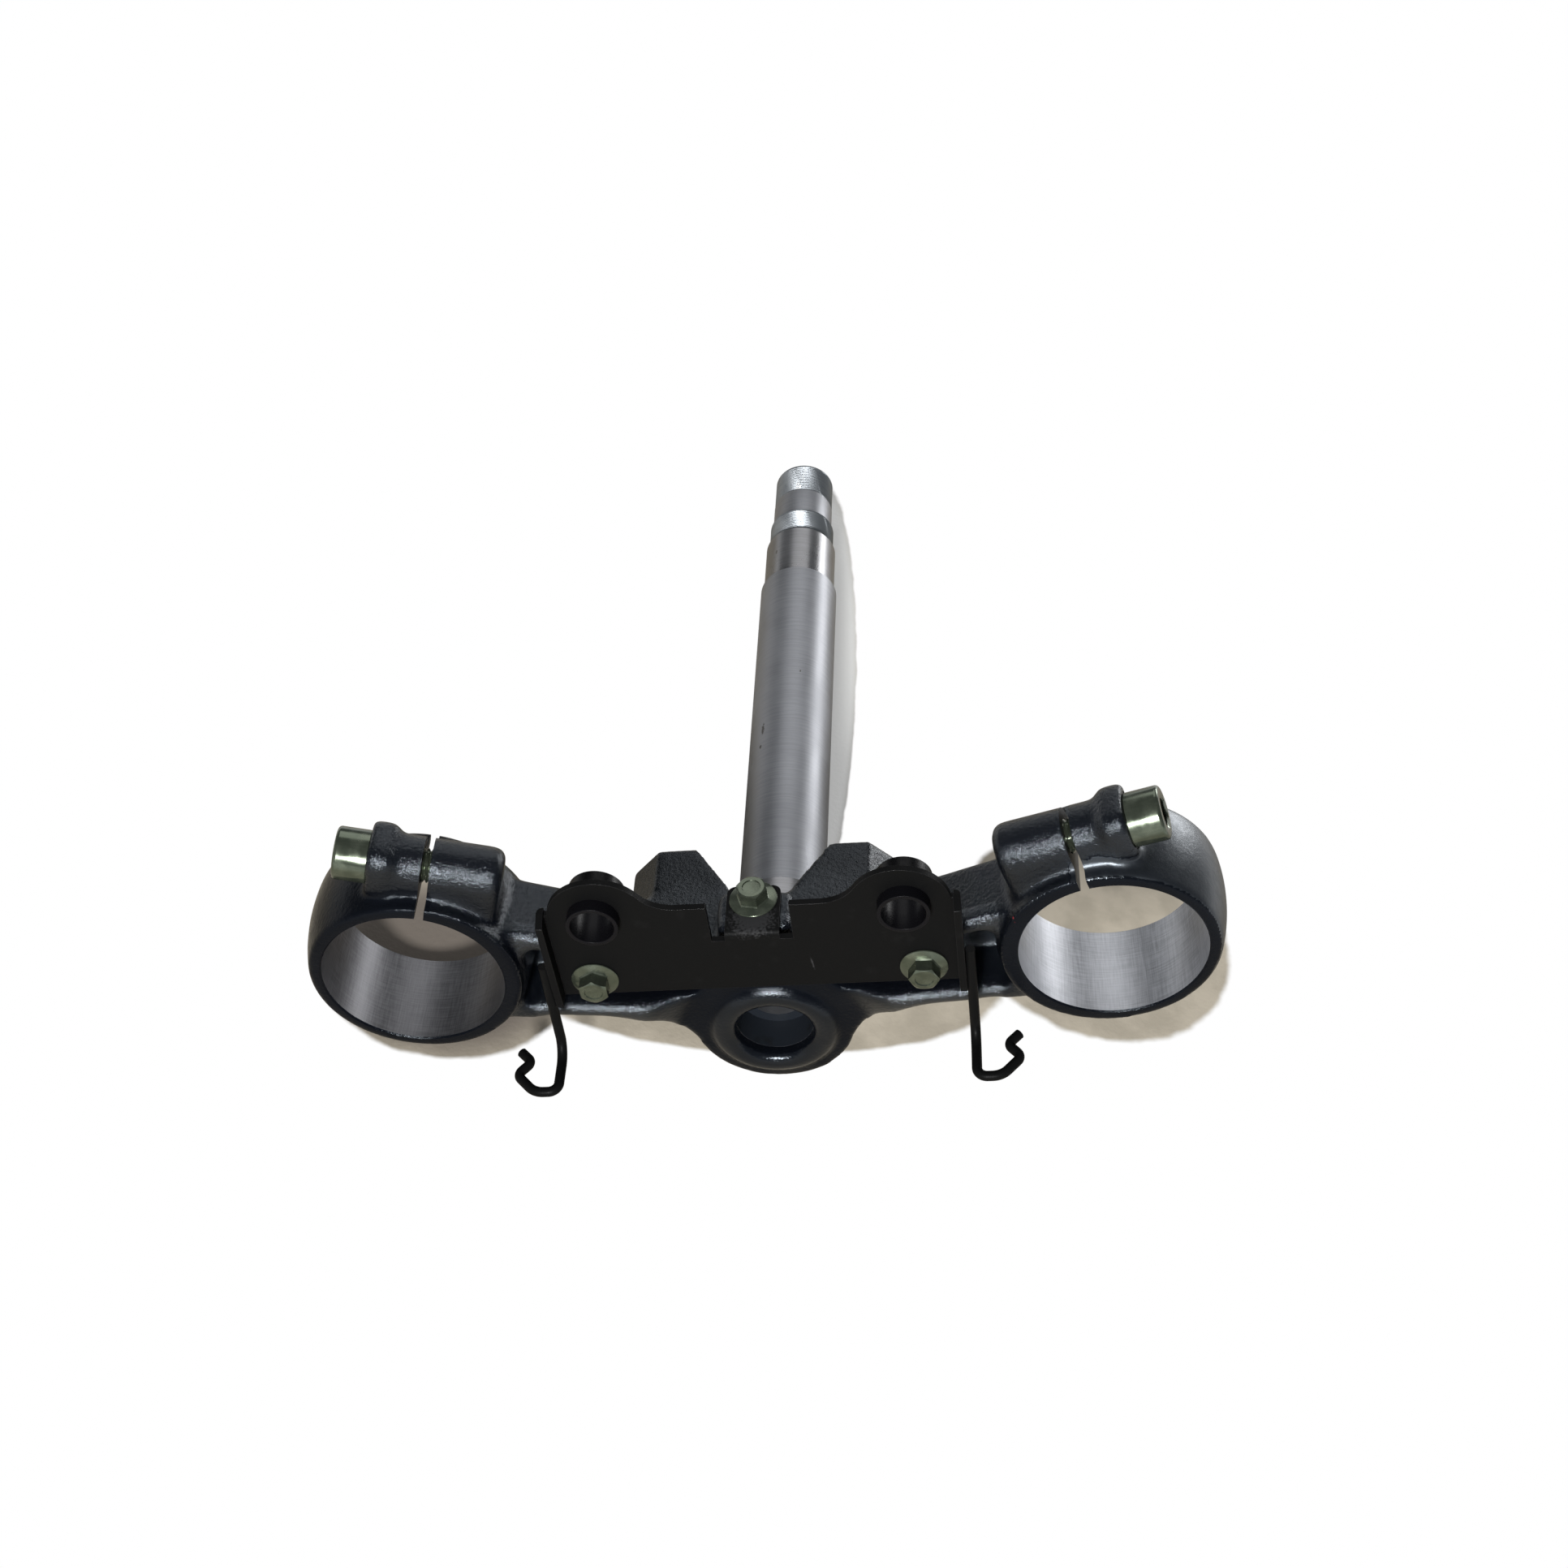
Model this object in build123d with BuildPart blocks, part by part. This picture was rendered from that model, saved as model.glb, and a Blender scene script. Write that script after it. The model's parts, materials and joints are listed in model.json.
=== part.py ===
from build123d import *
import math
import os

# Lower triple clamp of a motorcycle with its pressed-in steering stem, in millimetres.
# It is drawn as it sits on the motorcycle: Z runs up the stem, the front is towards -Y and X runs across.
# The stem's axis is X = Y = 0 and the lower ends of the fork rings lie in Z = 0.
# At the end every piece is laid on its back, as the clamp comes to rest on a floor.

# Fork rings
FORK_BORE_R = 27.0
FORK_SPACING = 204.0
FORK_OFFSET = 41.0
RING_HEIGHT = 31.0
RING_WALL = 3.8
RING_BELLY = 2.4
RING_BELLY_Z = 17.0
RING_TOP_WALL = 5.2
RING_LOW_EDGE = 0.8
RING_TOP_EDGE = 2.0

# Pinch bolts
PINCH_BOLT_R = 5.0
PINCH_BOLT_LENGTH = 32.0
PINCH_BOLT_POINT = 0.8
PINCH_HEAD_R = 7.75
PINCH_HEAD_H = 10.0
PINCH_HEAD_EDGE = 0.8
PINCH_SOCKET_AF = 8.0
PINCH_SOCKET_DEPTH = 5.5

# Pinch bosses, measured along the bolt from the middle of the slit
PINCH_ANGLE = 16.5
PINCH_Z = 13.0
PINCH_WALL = 3.3
PINCH_BORE_WALL = 4.4
PINCH_END_WALL = 5.0
PINCH_END_EDGE = 3.0
PINCH_TIP_GAP = 1.1
PAD_START = 8.7
PAD_END = 16.9
PAD_MARGIN = 1.5
PAD_CORNER = 5.5
PAD_FACE_EDGE = 0.9
PAD_NECK_EDGE = 2.4
SPOT_DEPTH = 0.6
SPOT_CLEARANCE = 0.5
SLIT = 2.6
PINCH_CLEARANCE = 0.4
THREAD_CLEARANCE = 0.05

# Arms, seen from above as straight edges that blend into the rings and the stem boss
ARM_LOW_Z = 4.0
ARM_TOP_Z = 27.0
ARM_TOP_EDGE = 2.5
ARM_REAR = 9.2
ARM_REAR_ANGLE = 5.4
ARM_FRONT = 30.4
ARM_FRONT_ANGLE = 19.4
ARM_BOSS_BLEND = 32.0
ARM_RING_BLEND = 6.0
FRONT_WALL = 44.0
REAR_WALL_T = 5.6
FRONT_WALL_T = 8.0
POCKET_ROOF_T = 6.0
POCKET_CORNER = 2.5
POCKET_DRAFT = 3.0

# Stem boss
BOSS_R = 24.5
BOSS_FOOT_R = 15.5
BOSS_FOOT_Z = 7.2
BOSS_FOOT_H = 7.8
BOSS_TOP_Z = 31.0
BOSS_TOP_EDGE = 1.5
BOSS_LIP_R = 11.8
BOSS_LIP_H = 1.7
BOSS_RIM = 3.0
RELIEF_Z = 10.0
RELIEF_R = 40.0
SEAT_RING_R = 20.5
SEAT_RING_H = 2.0

# Steering stops
STOP_TOP_Z = 45.5
STOP_FOOT_X = 8.5
STOP_CORNER_X = 20.5
STOP_FACET_X = 32.0
STOP_END_X = 41.0
STOP_FACET_DEPTH = 9.5
STOP_DEPTH = 15.0
STOP_EDGE = 1.2

# Steering stem, with the heights at which its turned steps end
STEM_FOOT_Z = 12.2
STEM_ROOT_R = 15.5
STEM_SEAT_R = 15.0
STEM_SEAT_TOP_Z = 60.0
STEM_R = 14.0
STEM_TOP_Z = 215.5
UPPER_SEAT_R = 13.0
UPPER_SEAT_TOP_Z = 240.0
ADJUSTER_R = 12.0
ADJUSTER_TOP_Z = 252.7
NECK_R = 11.1
NECK_TOP_Z = 265.3
NUT_R = 11.0
STEM_END_Z = 282.0
STEM_BORE_R = 8.5
FOOT_BORE_DEPTH = 10.2
STEM_EDGE = 1.0
STEP_EDGE = 0.5
PRESS_CLEARANCE = 0.01

# Sheet bracket under the front of the clamp
SHEET = 2.0
BEND_EDGE = 1.8
PLATE_HALF = 58.0
PLATE_LOW = 31.8
PLATE_SHOULDER = 66.6
LOBE_R = 14.7
LOBE_BLEND = 12.0
LOBE_SHIFT_X = -1.2
LOBE_SHIFT_Y = 1.0
NOTCH_HALF = 11.8
NOTCH_END = 52.5
TAB_HALF = 7.8
TAB_FACE = 55.6
TAB_MARGIN = 5.4
TAB_CORNER = 2.5
FLANGE_DEPTH = 4.9
FLANGE_TOP = 67.9
FLANGE_LIP = 0.7
FLANGE_SLANT = 1.7

# Collars in the bracket's lobes
COLLAR_INSET = 14.0
COLLAR_Y = 65.0
COLLAR_R = 7.5
COLLAR_BORE_R = 6.3
COLLAR_SHOULDER = 0.7
COLLAR_LOW = 4.0
COLLAR_TOP = 10.5
COLLAR_CLEARANCE = 0.05

# Flange bolts that hold the bracket
BOLT_R = 3.0
BOLT_LENGTH = 14.0
BOLT_TIP_GAP = 2.0
BOLT_HEX_AF = 8.0
BOLT_HEX_H = 5.6
BOLT_HEX_EDGE = 0.5
BOLT_FLANGE_R = 7.0
BOLT_FLANGE_H = 1.3
BOLT_FLANGE_TAPER = 15.0
BOLT_CLEARANCE = 0.3
LOWER_BOLT_INSET = 10.0
LOWER_BOLT_Y = 38.3
TOP_BOLT_Z = 12.6
BOLT_BOSS_MARGIN = 0.5
TAB_BOSS_MARGIN = 3.4
TAB_BOSS_EDGE = 2.5
TAB_BOSS_ROOT = 4.0

# Bent-wire hose guides on the bracket's side flanges
WIRE_R = 1.5
GUIDE_TOP_Y = 47.5
GUIDE_HOOK_Y = 12.6
GUIDE_TOP_Z = -2.4
GUIDE_BEND_Z = -5.4
GUIDE_LOW_Z = -20.8
GUIDE_TURN_Z = -14.2
GUIDE_WAIST_Z = -9.6
GUIDE_TIP_Z = -5.8
GUIDE_FOOT_REACH = 7.1
GUIDE_TURN_REACH = 13.1
GUIDE_WAIST_REACH = 9.1
GUIDE_TIP_REACH = 12.7
GUIDE_BENDS = [6.5, 3.0, 6.0, 2.3, 2.0]

# Sizes that follow from the ones above
FORK_X = FORK_SPACING / 2
RING_LOW_R = FORK_BORE_R + RING_WALL
RING_BELLY_R = RING_LOW_R + RING_BELLY
RING_TOP_R = FORK_BORE_R + RING_TOP_WALL
PINCH_R = PINCH_BOLT_R + PINCH_WALL
PINCH_SEAT = PAD_END - SPOT_DEPTH
PINCH_HOLE = PINCH_BOLT_LENGTH - PINCH_SEAT + PINCH_TIP_GAP
PINCH_INNER = PINCH_HOLE + PINCH_END_WALL
PINCH_REACH = FORK_BORE_R + PINCH_BOLT_R + PINCH_BORE_WALL
PINCH_ROOT = PINCH_REACH - math.sqrt((FORK_BORE_R + RING_WALL / 2) ** 2 - PINCH_INNER**2)
PAD_HALF = PINCH_HEAD_R + PAD_MARGIN
POCKET_ROOF_Z = ARM_TOP_Z - POCKET_ROOF_T
SEAT_Z = BOSS_TOP_Z + SEAT_RING_H
COLLAR_X = PLATE_HALF - COLLAR_INSET
LOWER_BOLT_X = PLATE_HALF - LOWER_BOLT_INSET
BOLT_BOSS_R = BOLT_FLANGE_R + BOLT_BOSS_MARGIN
TAB_TOP_Z = TOP_BOLT_Z + TAB_MARGIN
TAB_BOSS_HALF = TAB_HALF + TAB_BOSS_MARGIN
TAB_SEAT = TAB_FACE - SHEET
WIRE_X = PLATE_HALF + SHEET + WIRE_R
STEM_AXIS = Axis((0, 0, 0), (0, 0, 1))
SIDES = (1, -1)


def pinch_plane(side):
    """Plane of one slit, on the bolt's axis, with its normal towards the head and x towards the fork."""
    turn = math.radians(PINCH_ANGLE)
    across = (side * math.cos(turn), -math.sin(turn), 0)
    inwards = (side * math.sin(turn), math.cos(turn), 0)
    foot = (side * FORK_X - PINCH_REACH * inwards[0], -FORK_OFFSET - PINCH_REACH * inwards[1], PINCH_Z)
    return Plane(origin=foot, x_dir=inwards, z_dir=across)


def rear_edge(x, inset=0.0):
    """Point of the arm's rear edge at x, or of a line that lies inset inside it."""
    return (x, -ARM_REAR - inset - x * math.tan(math.radians(ARM_REAR_ANGLE)))


def front_edge(x, inset=0.0):
    """Point of the arm's front edge at x, or of a line that lies inset inside it."""
    return (x, -ARM_FRONT + inset - x * math.tan(math.radians(ARM_FRONT_ANGLE)))


def from_stem(vertex):
    """How far a corner lies to either side of the stem."""
    return abs(vertex.X)


def between_forks(vertex):
    """Whether a corner lies between the axes of the two forks."""
    return abs(vertex.X) < FORK_X


# Cast clamp
with BuildPart() as lower_clamp:
    # Arms with the front wall between them
    with BuildSketch(Plane.XY.offset(ARM_LOW_Z)) as arm_plan:
        with BuildLine() as arm_line:
            Polyline(
                (0, -FRONT_WALL),
                (STOP_END_X, -FRONT_WALL),
                front_edge(FORK_X - FORK_BORE_R / 2),
                rear_edge(FORK_X - FORK_BORE_R / 2),
                rear_edge(0),
                close=True,
            )
        make_face()
        with Locations((FORK_X, -FORK_OFFSET)):
            Circle(RING_LOW_R)
        mirror(about=Plane.YZ)
        Circle(BOSS_R)
        fillet(arm_plan.vertices().sort_by(from_stem)[:2], ARM_BOSS_BLEND)
        fillet(arm_plan.vertices().filter_by(between_forks).sort_by(from_stem)[-4:], ARM_RING_BLEND)
    extrude(amount=ARM_TOP_Z - ARM_LOW_Z)
    fillet(lower_clamp.faces().sort_by(Axis.Z)[-1].edges(), ARM_TOP_EDGE)

    # The arms' underside rises towards the stem boss, so that the boss's foot stands proud
    with BuildSketch(Plane.XZ) as relief_half:
        with BuildLine() as relief_line:
            Polyline(
                (0, 0),
                (RELIEF_R, 0),
                (RELIEF_R, ARM_LOW_Z),
                (BOSS_R + BOSS_RIM, RELIEF_Z),
                (0, RELIEF_Z),
                close=True,
            )
        make_face()
    revolve(axis=STEM_AXIS, mode=Mode.SUBTRACT)

    # Stem boss with a round foot like a thick lip, and the raised bearing seat on top
    with BuildSketch(Plane.XZ) as boss_half:
        with BuildLine() as boss_line:
            lip = ThreePointArc(
                (BOSS_LIP_R, BOSS_FOOT_Z + BOSS_LIP_H),
                (BOSS_FOOT_R, BOSS_FOOT_Z),
                (2 * BOSS_FOOT_R - BOSS_LIP_R, BOSS_FOOT_Z + BOSS_LIP_H),
            )
            Polyline(
                lip @ 1,
                (BOSS_R, BOSS_FOOT_Z + BOSS_FOOT_H),
                (BOSS_R, BOSS_TOP_Z - BOSS_TOP_EDGE),
                (BOSS_R - BOSS_TOP_EDGE, BOSS_TOP_Z),
                (SEAT_RING_R, BOSS_TOP_Z),
                (SEAT_RING_R, SEAT_Z),
                (0, SEAT_Z),
                (0, BOSS_FOOT_Z + BOSS_LIP_H),
                (BOSS_LIP_R, BOSS_FOOT_Z + BOSS_LIP_H),
            )
        make_face()
    revolve(axis=STEM_AXIS)

    # Pockets under the arms, open to the underside and drafted like the casting's core
    with BuildSketch(Plane.XY) as pocket_plan:
        with BuildLine() as pocket_line:
            Polyline(
                rear_edge(FORK_X, REAR_WALL_T),
                rear_edge(BOSS_R / 2, REAR_WALL_T),
                (BOSS_R / 2, FRONT_WALL_T - FRONT_WALL),
                (STOP_FACET_X, FRONT_WALL_T - FRONT_WALL),
                front_edge(FORK_X - FORK_BORE_R, FRONT_WALL_T),
                close=True,
            )
        make_face()
        with Locations((FORK_X, -FORK_OFFSET)):
            Circle(RING_BELLY_R, mode=Mode.SUBTRACT)
        Circle(BOSS_R + BOSS_RIM, mode=Mode.SUBTRACT)
        fillet(pocket_plan.vertices(), POCKET_CORNER)
        mirror(about=Plane.YZ)
    extrude(amount=POCKET_ROOF_Z, taper=POCKET_DRAFT, mode=Mode.SUBTRACT)

    # Bolt bosses inside the pockets
    with BuildSketch(Plane.XY.offset(SHEET)) as bolt_bosses:
        with Locations((LOWER_BOLT_X, -LOWER_BOLT_Y), (-LOWER_BOLT_X, -LOWER_BOLT_Y)):
            Circle(BOLT_BOSS_R)
    extrude(amount=POCKET_ROOF_Z + POCKET_ROOF_T / 2 - SHEET)

    # Boss on the front wall for the bracket's tab
    with BuildSketch(Plane.XY.offset(ARM_LOW_Z)) as tab_boss:
        with Locations((0, -TAB_SEAT)):
            RectangleRounded(
                2 * TAB_BOSS_HALF,
                TAB_SEAT - FRONT_WALL + TAB_BOSS_ROOT,
                TAB_BOSS_EDGE,
                align=(Align.CENTER, Align.MIN),
            )
    extrude(amount=TAB_TOP_Z - ARM_LOW_Z)

    # Steering stops: flat-topped blocks with a sloping inner side and a facet on the outer corner
    with BuildSketch(Plane.XY.offset(POCKET_ROOF_Z)) as stop_plan:
        with BuildLine() as stop_line:
            Polyline(
                (STOP_FOOT_X, -FRONT_WALL),
                (STOP_FACET_X, -FRONT_WALL),
                (STOP_END_X, STOP_FACET_DEPTH - FRONT_WALL),
                (STOP_END_X, STOP_DEPTH - FRONT_WALL),
                (STOP_FOOT_X, STOP_DEPTH - FRONT_WALL),
                close=True,
            )
        make_face()
        mirror(about=Plane.YZ)
    extrude(amount=STOP_TOP_Z - POCKET_ROOF_Z)
    with BuildSketch(Plane.XZ.offset(FRONT_WALL)) as stop_slopes:
        with BuildLine() as slope_line:
            Polyline(
                (0, ARM_TOP_Z),
                (STOP_FOOT_X, ARM_TOP_Z),
                (STOP_CORNER_X, STOP_TOP_Z),
                (0, STOP_TOP_Z),
                close=True,
            )
        make_face()
        mirror(about=Plane.YZ)
    extrude(amount=-STOP_DEPTH, mode=Mode.SUBTRACT)
    fillet(lower_clamp.faces().group_by(Axis.Z)[-1].edges(), STOP_EDGE)

    # Fork rings with a slight belly
    for side in SIDES:
        with BuildSketch(Plane((side * FORK_X, -FORK_OFFSET, 0), (1, 0, 0), (0, -1, 0))) as ring_half:
            with BuildLine() as ring_line:
                Polyline((0, 0), (RING_LOW_R - RING_LOW_EDGE, 0), (RING_LOW_R, RING_LOW_EDGE))
                ThreePointArc(
                    (RING_LOW_R, RING_LOW_EDGE),
                    (RING_BELLY_R, RING_BELLY_Z),
                    (RING_TOP_R, RING_HEIGHT - RING_TOP_EDGE),
                )
                Polyline(
                    (RING_TOP_R, RING_HEIGHT - RING_TOP_EDGE),
                    (RING_TOP_R - RING_TOP_EDGE, RING_HEIGHT),
                    (0, RING_HEIGHT),
                    (0, 0),
                )
            make_face()
        revolve(axis=Axis((side * FORK_X, -FORK_OFFSET, 0), (0, 0, 1)))

    # Pinch bosses: a round body with a rounded blind end, carried into the ring, and the bolt's pad
    along = Axis((0, 0, 0), pinch_plane(1).z_dir)
    with BuildPart(mode=Mode.PRIVATE) as pinch_body:
        with BuildSketch(pinch_plane(1).offset(-PINCH_INNER)) as pinch_round:
            Circle(PINCH_R)
            Rectangle(PINCH_ROOT, 2 * PINCH_R, align=(Align.MIN, Align.CENTER))
        extrude(amount=PINCH_INNER + PAD_START)
        fillet(pinch_body.faces().sort_by(along)[0].edges(), PINCH_END_EDGE)
    with BuildPart(mode=Mode.PRIVATE) as pinch_pad:
        with BuildSketch(pinch_plane(1).offset(PAD_START)) as pad_outline:
            RectangleRounded(2 * PAD_HALF, 2 * PAD_HALF, PAD_CORNER)
        extrude(amount=PAD_END - PAD_START)
        fillet(pinch_pad.faces().sort_by(along)[0].edges(), PAD_NECK_EDGE)
        fillet(pinch_pad.faces().sort_by(along)[-1].edges(), PAD_FACE_EDGE)
    for lump in (pinch_body, pinch_pad):
        add(lump.part)
        mirror(lump.part, about=Plane.YZ)

    # Fork bores
    with Locations((FORK_X, -FORK_OFFSET, 0), (-FORK_X, -FORK_OFFSET, 0)):
        Cylinder(FORK_BORE_R, 2 * RING_HEIGHT + 2 * STOP_TOP_Z, mode=Mode.SUBTRACT)

    # Slits, bolt holes and spot faces
    for side in SIDES:
        with BuildSketch(pinch_plane(side)) as slit_cut:
            Rectangle(2 * PINCH_REACH, 4 * RING_HEIGHT)
        extrude(amount=SLIT / 2, both=True, mode=Mode.SUBTRACT)
        with BuildSketch(pinch_plane(side)) as clear_hole:
            Circle(PINCH_BOLT_R + PINCH_CLEARANCE)
        extrude(amount=PAD_END, mode=Mode.SUBTRACT)
        with BuildSketch(pinch_plane(side)) as thread_hole:
            Circle(PINCH_BOLT_R + THREAD_CLEARANCE)
        extrude(amount=-PINCH_HOLE, mode=Mode.SUBTRACT)
        with BuildSketch(pinch_plane(side).offset(PINCH_SEAT)) as spot_face:
            Circle(PINCH_HEAD_R + SPOT_CLEARANCE)
        extrude(amount=PINCH_HEAD_H, mode=Mode.SUBTRACT)

    # Stem bore behind the lip, and the bracket's bolt holes
    with BuildSketch(Plane.XZ) as stem_bore:
        with BuildLine() as stem_bore_line:
            Polyline(
                (0, BOSS_FOOT_Z),
                (BOSS_LIP_R, BOSS_FOOT_Z),
                (BOSS_LIP_R, STEM_FOOT_Z),
                (STEM_ROOT_R + PRESS_CLEARANCE, STEM_FOOT_Z),
                (STEM_ROOT_R + PRESS_CLEARANCE, SEAT_Z),
                (0, SEAT_Z),
                close=True,
            )
        make_face()
    revolve(axis=STEM_AXIS, mode=Mode.SUBTRACT)
    with BuildSketch(Plane.XY) as lower_holes:
        with Locations((LOWER_BOLT_X, -LOWER_BOLT_Y), (-LOWER_BOLT_X, -LOWER_BOLT_Y)):
            Circle(BOLT_R + THREAD_CLEARANCE)
    extrude(amount=BOLT_LENGTH + BOLT_TIP_GAP, mode=Mode.SUBTRACT)
    with BuildSketch(Plane.XZ.offset(TAB_FACE)) as top_hole:
        with Locations((0, TOP_BOLT_Z)):
            Circle(BOLT_R + THREAD_CLEARANCE)
    extrude(amount=-BOLT_LENGTH - BOLT_TIP_GAP, mode=Mode.SUBTRACT)

# Turned steering stem
with BuildPart() as steering_stem:
    with BuildSketch(Plane.XZ) as stem_half:
        with BuildLine() as stem_line:
            Polyline(
                (BOSS_LIP_R, STEM_FOOT_Z),
                (STEM_ROOT_R, STEM_FOOT_Z),
                (STEM_ROOT_R, SEAT_Z),
                (STEM_SEAT_R, SEAT_Z),
                (STEM_SEAT_R, STEM_SEAT_TOP_Z - STEM_EDGE),
                (STEM_R, STEM_SEAT_TOP_Z),
                (STEM_R, STEM_TOP_Z - STEP_EDGE),
                (UPPER_SEAT_R, STEM_TOP_Z),
                (UPPER_SEAT_R, UPPER_SEAT_TOP_Z - STEP_EDGE),
                (ADJUSTER_R, UPPER_SEAT_TOP_Z),
                (ADJUSTER_R, ADJUSTER_TOP_Z - STEP_EDGE),
                (NECK_R, ADJUSTER_TOP_Z),
                (NECK_R, NECK_TOP_Z),
                (NUT_R, NECK_TOP_Z + STEP_EDGE),
                (NUT_R, STEM_END_Z - STEM_EDGE),
                (NUT_R - STEM_EDGE, STEM_END_Z),
                (STEM_BORE_R, STEM_END_Z),
                (STEM_BORE_R, STEM_FOOT_Z + FOOT_BORE_DEPTH),
                (BOSS_LIP_R, STEM_FOOT_Z + FOOT_BORE_DEPTH),
                close=True,
            )
        make_face()
    revolve(axis=STEM_AXIS)

# Hex-socket pinch bolts
with BuildPart() as pinch_bolts:
    for side in SIDES:
        along = Axis((0, 0, 0), pinch_plane(side).z_dir)
        with BuildPart(mode=Mode.PRIVATE) as pinch_bolt:
            with BuildSketch(pinch_plane(side).offset(PINCH_SEAT)) as shank:
                Circle(PINCH_BOLT_R)
            extrude(amount=-PINCH_BOLT_LENGTH)
            chamfer(pinch_bolt.faces().sort_by(along)[0].edges(), PINCH_BOLT_POINT)
            with BuildSketch(pinch_plane(side).offset(PINCH_SEAT)) as head:
                Circle(PINCH_HEAD_R)
            extrude(amount=PINCH_HEAD_H)
            chamfer(pinch_bolt.faces().sort_by(along)[-1].edges(), PINCH_HEAD_EDGE)
            with BuildSketch(pinch_plane(side).offset(PINCH_SEAT + PINCH_HEAD_H)) as socket:
                RegularPolygon(PINCH_SOCKET_AF / 2, 6, major_radius=False)
            extrude(amount=-PINCH_SOCKET_DEPTH, mode=Mode.SUBTRACT)
        add(pinch_bolt.part)

# Sheet bracket with bent tab and side flanges
with BuildPart() as guide_bracket:
    with BuildSketch(Plane.XY) as plate:
        with BuildLine() as plate_line:
            Polyline(
                (0, -PLATE_LOW),
                (PLATE_HALF, -PLATE_LOW),
                (PLATE_HALF, -PLATE_SHOULDER),
                (NOTCH_HALF, -PLATE_SHOULDER),
                (NOTCH_HALF, -NOTCH_END),
                (0, -NOTCH_END),
                close=True,
            )
        make_face()
        with Locations((COLLAR_X + LOBE_SHIFT_X, -COLLAR_Y + LOBE_SHIFT_Y)):
            Circle(LOBE_R)
        fillet(plate.vertices().group_by(Axis.Y)[0].sort_by(Axis.X)[1], LOBE_BLEND)
        with Locations((COLLAR_X, -COLLAR_Y)):
            Circle(COLLAR_R + COLLAR_CLEARANCE, mode=Mode.SUBTRACT)
        with Locations((LOWER_BOLT_X, -LOWER_BOLT_Y)):
            Circle(BOLT_R + BOLT_CLEARANCE, mode=Mode.SUBTRACT)
    extrude(amount=SHEET)

    # Side flange, bent down, with a slanting top end
    with BuildSketch(Plane.YZ.offset(PLATE_HALF)) as flange_side:
        with BuildLine() as flange_line:
            Polyline(
                (-PLATE_LOW, SHEET),
                (-FLANGE_TOP, SHEET),
                (-FLANGE_TOP, -FLANGE_LIP),
                (FLANGE_SLANT - FLANGE_TOP, -FLANGE_DEPTH),
                (-PLATE_LOW, -FLANGE_DEPTH),
                close=True,
            )
        make_face()
    extrude(amount=SHEET)
    fillet(guide_bracket.edges().filter_by(Axis.Y).group_by(Axis.X)[-1].sort_by(Axis.Z)[-1], BEND_EDGE)

    # Tab, bent up to lie on the front of the clamp
    with BuildSketch(Plane.YZ) as tab_side:
        with BuildLine() as tab_line:
            Polyline(
                (-NOTCH_END, 0),
                (-NOTCH_END, SHEET),
                (-TAB_SEAT, SHEET),
                (-TAB_SEAT, TAB_TOP_Z),
                (-TAB_FACE, TAB_TOP_Z),
                (-TAB_FACE, 0),
                close=True,
            )
        make_face()
        fillet(tab_side.vertices().sort_by(Axis.X)[:2].sort_by(Axis.Y)[0], BEND_EDGE)
    extrude(amount=TAB_HALF)
    mirror(about=Plane.YZ)
    fillet(guide_bracket.edges().filter_by(Axis.Y).group_by(Axis.Z)[-1], TAB_CORNER)
    with BuildSketch(Plane.XZ.offset(TAB_FACE)) as tab_hole:
        with Locations((0, TOP_BOLT_Z)):
            Circle(BOLT_R + BOLT_CLEARANCE)
    extrude(amount=-SHEET, mode=Mode.SUBTRACT)

# Collars through the bracket's lobes, each with a shoulder behind the sheet
with BuildPart() as right_collar:
    with BuildSketch(Plane.XY.offset(-COLLAR_LOW)) as collar_tube:
        with Locations((COLLAR_X, -COLLAR_Y)):
            Circle(COLLAR_R)
    extrude(amount=COLLAR_LOW + COLLAR_TOP)
    with BuildSketch(Plane.XY.offset(SHEET)) as collar_shoulder:
        with Locations((COLLAR_X, -COLLAR_Y)):
            Circle(COLLAR_R + COLLAR_SHOULDER)
    extrude(amount=COLLAR_TOP - SHEET)
    with BuildSketch(Plane.XY.offset(-COLLAR_LOW)) as collar_bore:
        with Locations((COLLAR_X, -COLLAR_Y)):
            Circle(COLLAR_BORE_R)
    extrude(amount=COLLAR_LOW + COLLAR_TOP, mode=Mode.SUBTRACT)

with BuildPart() as left_collar:
    add(right_collar.part)
    mirror(about=Plane.YZ, mode=Mode.REPLACE)

# Bent-wire hose guides, welded along the flanges' outer faces and ending in an open hook
with BuildPart() as right_hose_guide:
    with BuildLine() as wire_path:
        FilletPolyline(
            (WIRE_X, -GUIDE_TOP_Y, GUIDE_TOP_Z),
            (WIRE_X, -GUIDE_HOOK_Y, GUIDE_BEND_Z),
            (WIRE_X, -GUIDE_HOOK_Y, GUIDE_LOW_Z),
            (WIRE_X + GUIDE_FOOT_REACH, -GUIDE_HOOK_Y, GUIDE_LOW_Z),
            (WIRE_X + GUIDE_TURN_REACH, -GUIDE_HOOK_Y, GUIDE_TURN_Z),
            (WIRE_X + GUIDE_WAIST_REACH, -GUIDE_HOOK_Y, GUIDE_WAIST_Z),
            (WIRE_X + GUIDE_TIP_REACH, -GUIDE_HOOK_Y, GUIDE_TIP_Z),
            radius=GUIDE_BENDS,
        )
    with BuildSketch(Plane(origin=wire_path.wire() @ 0, z_dir=wire_path.wire() % 0)) as wire_round:
        Circle(WIRE_R)
    sweep()

with BuildPart() as left_hose_guide:
    add(right_hose_guide.part)
    mirror(about=Plane.YZ, mode=Mode.REPLACE)

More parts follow.
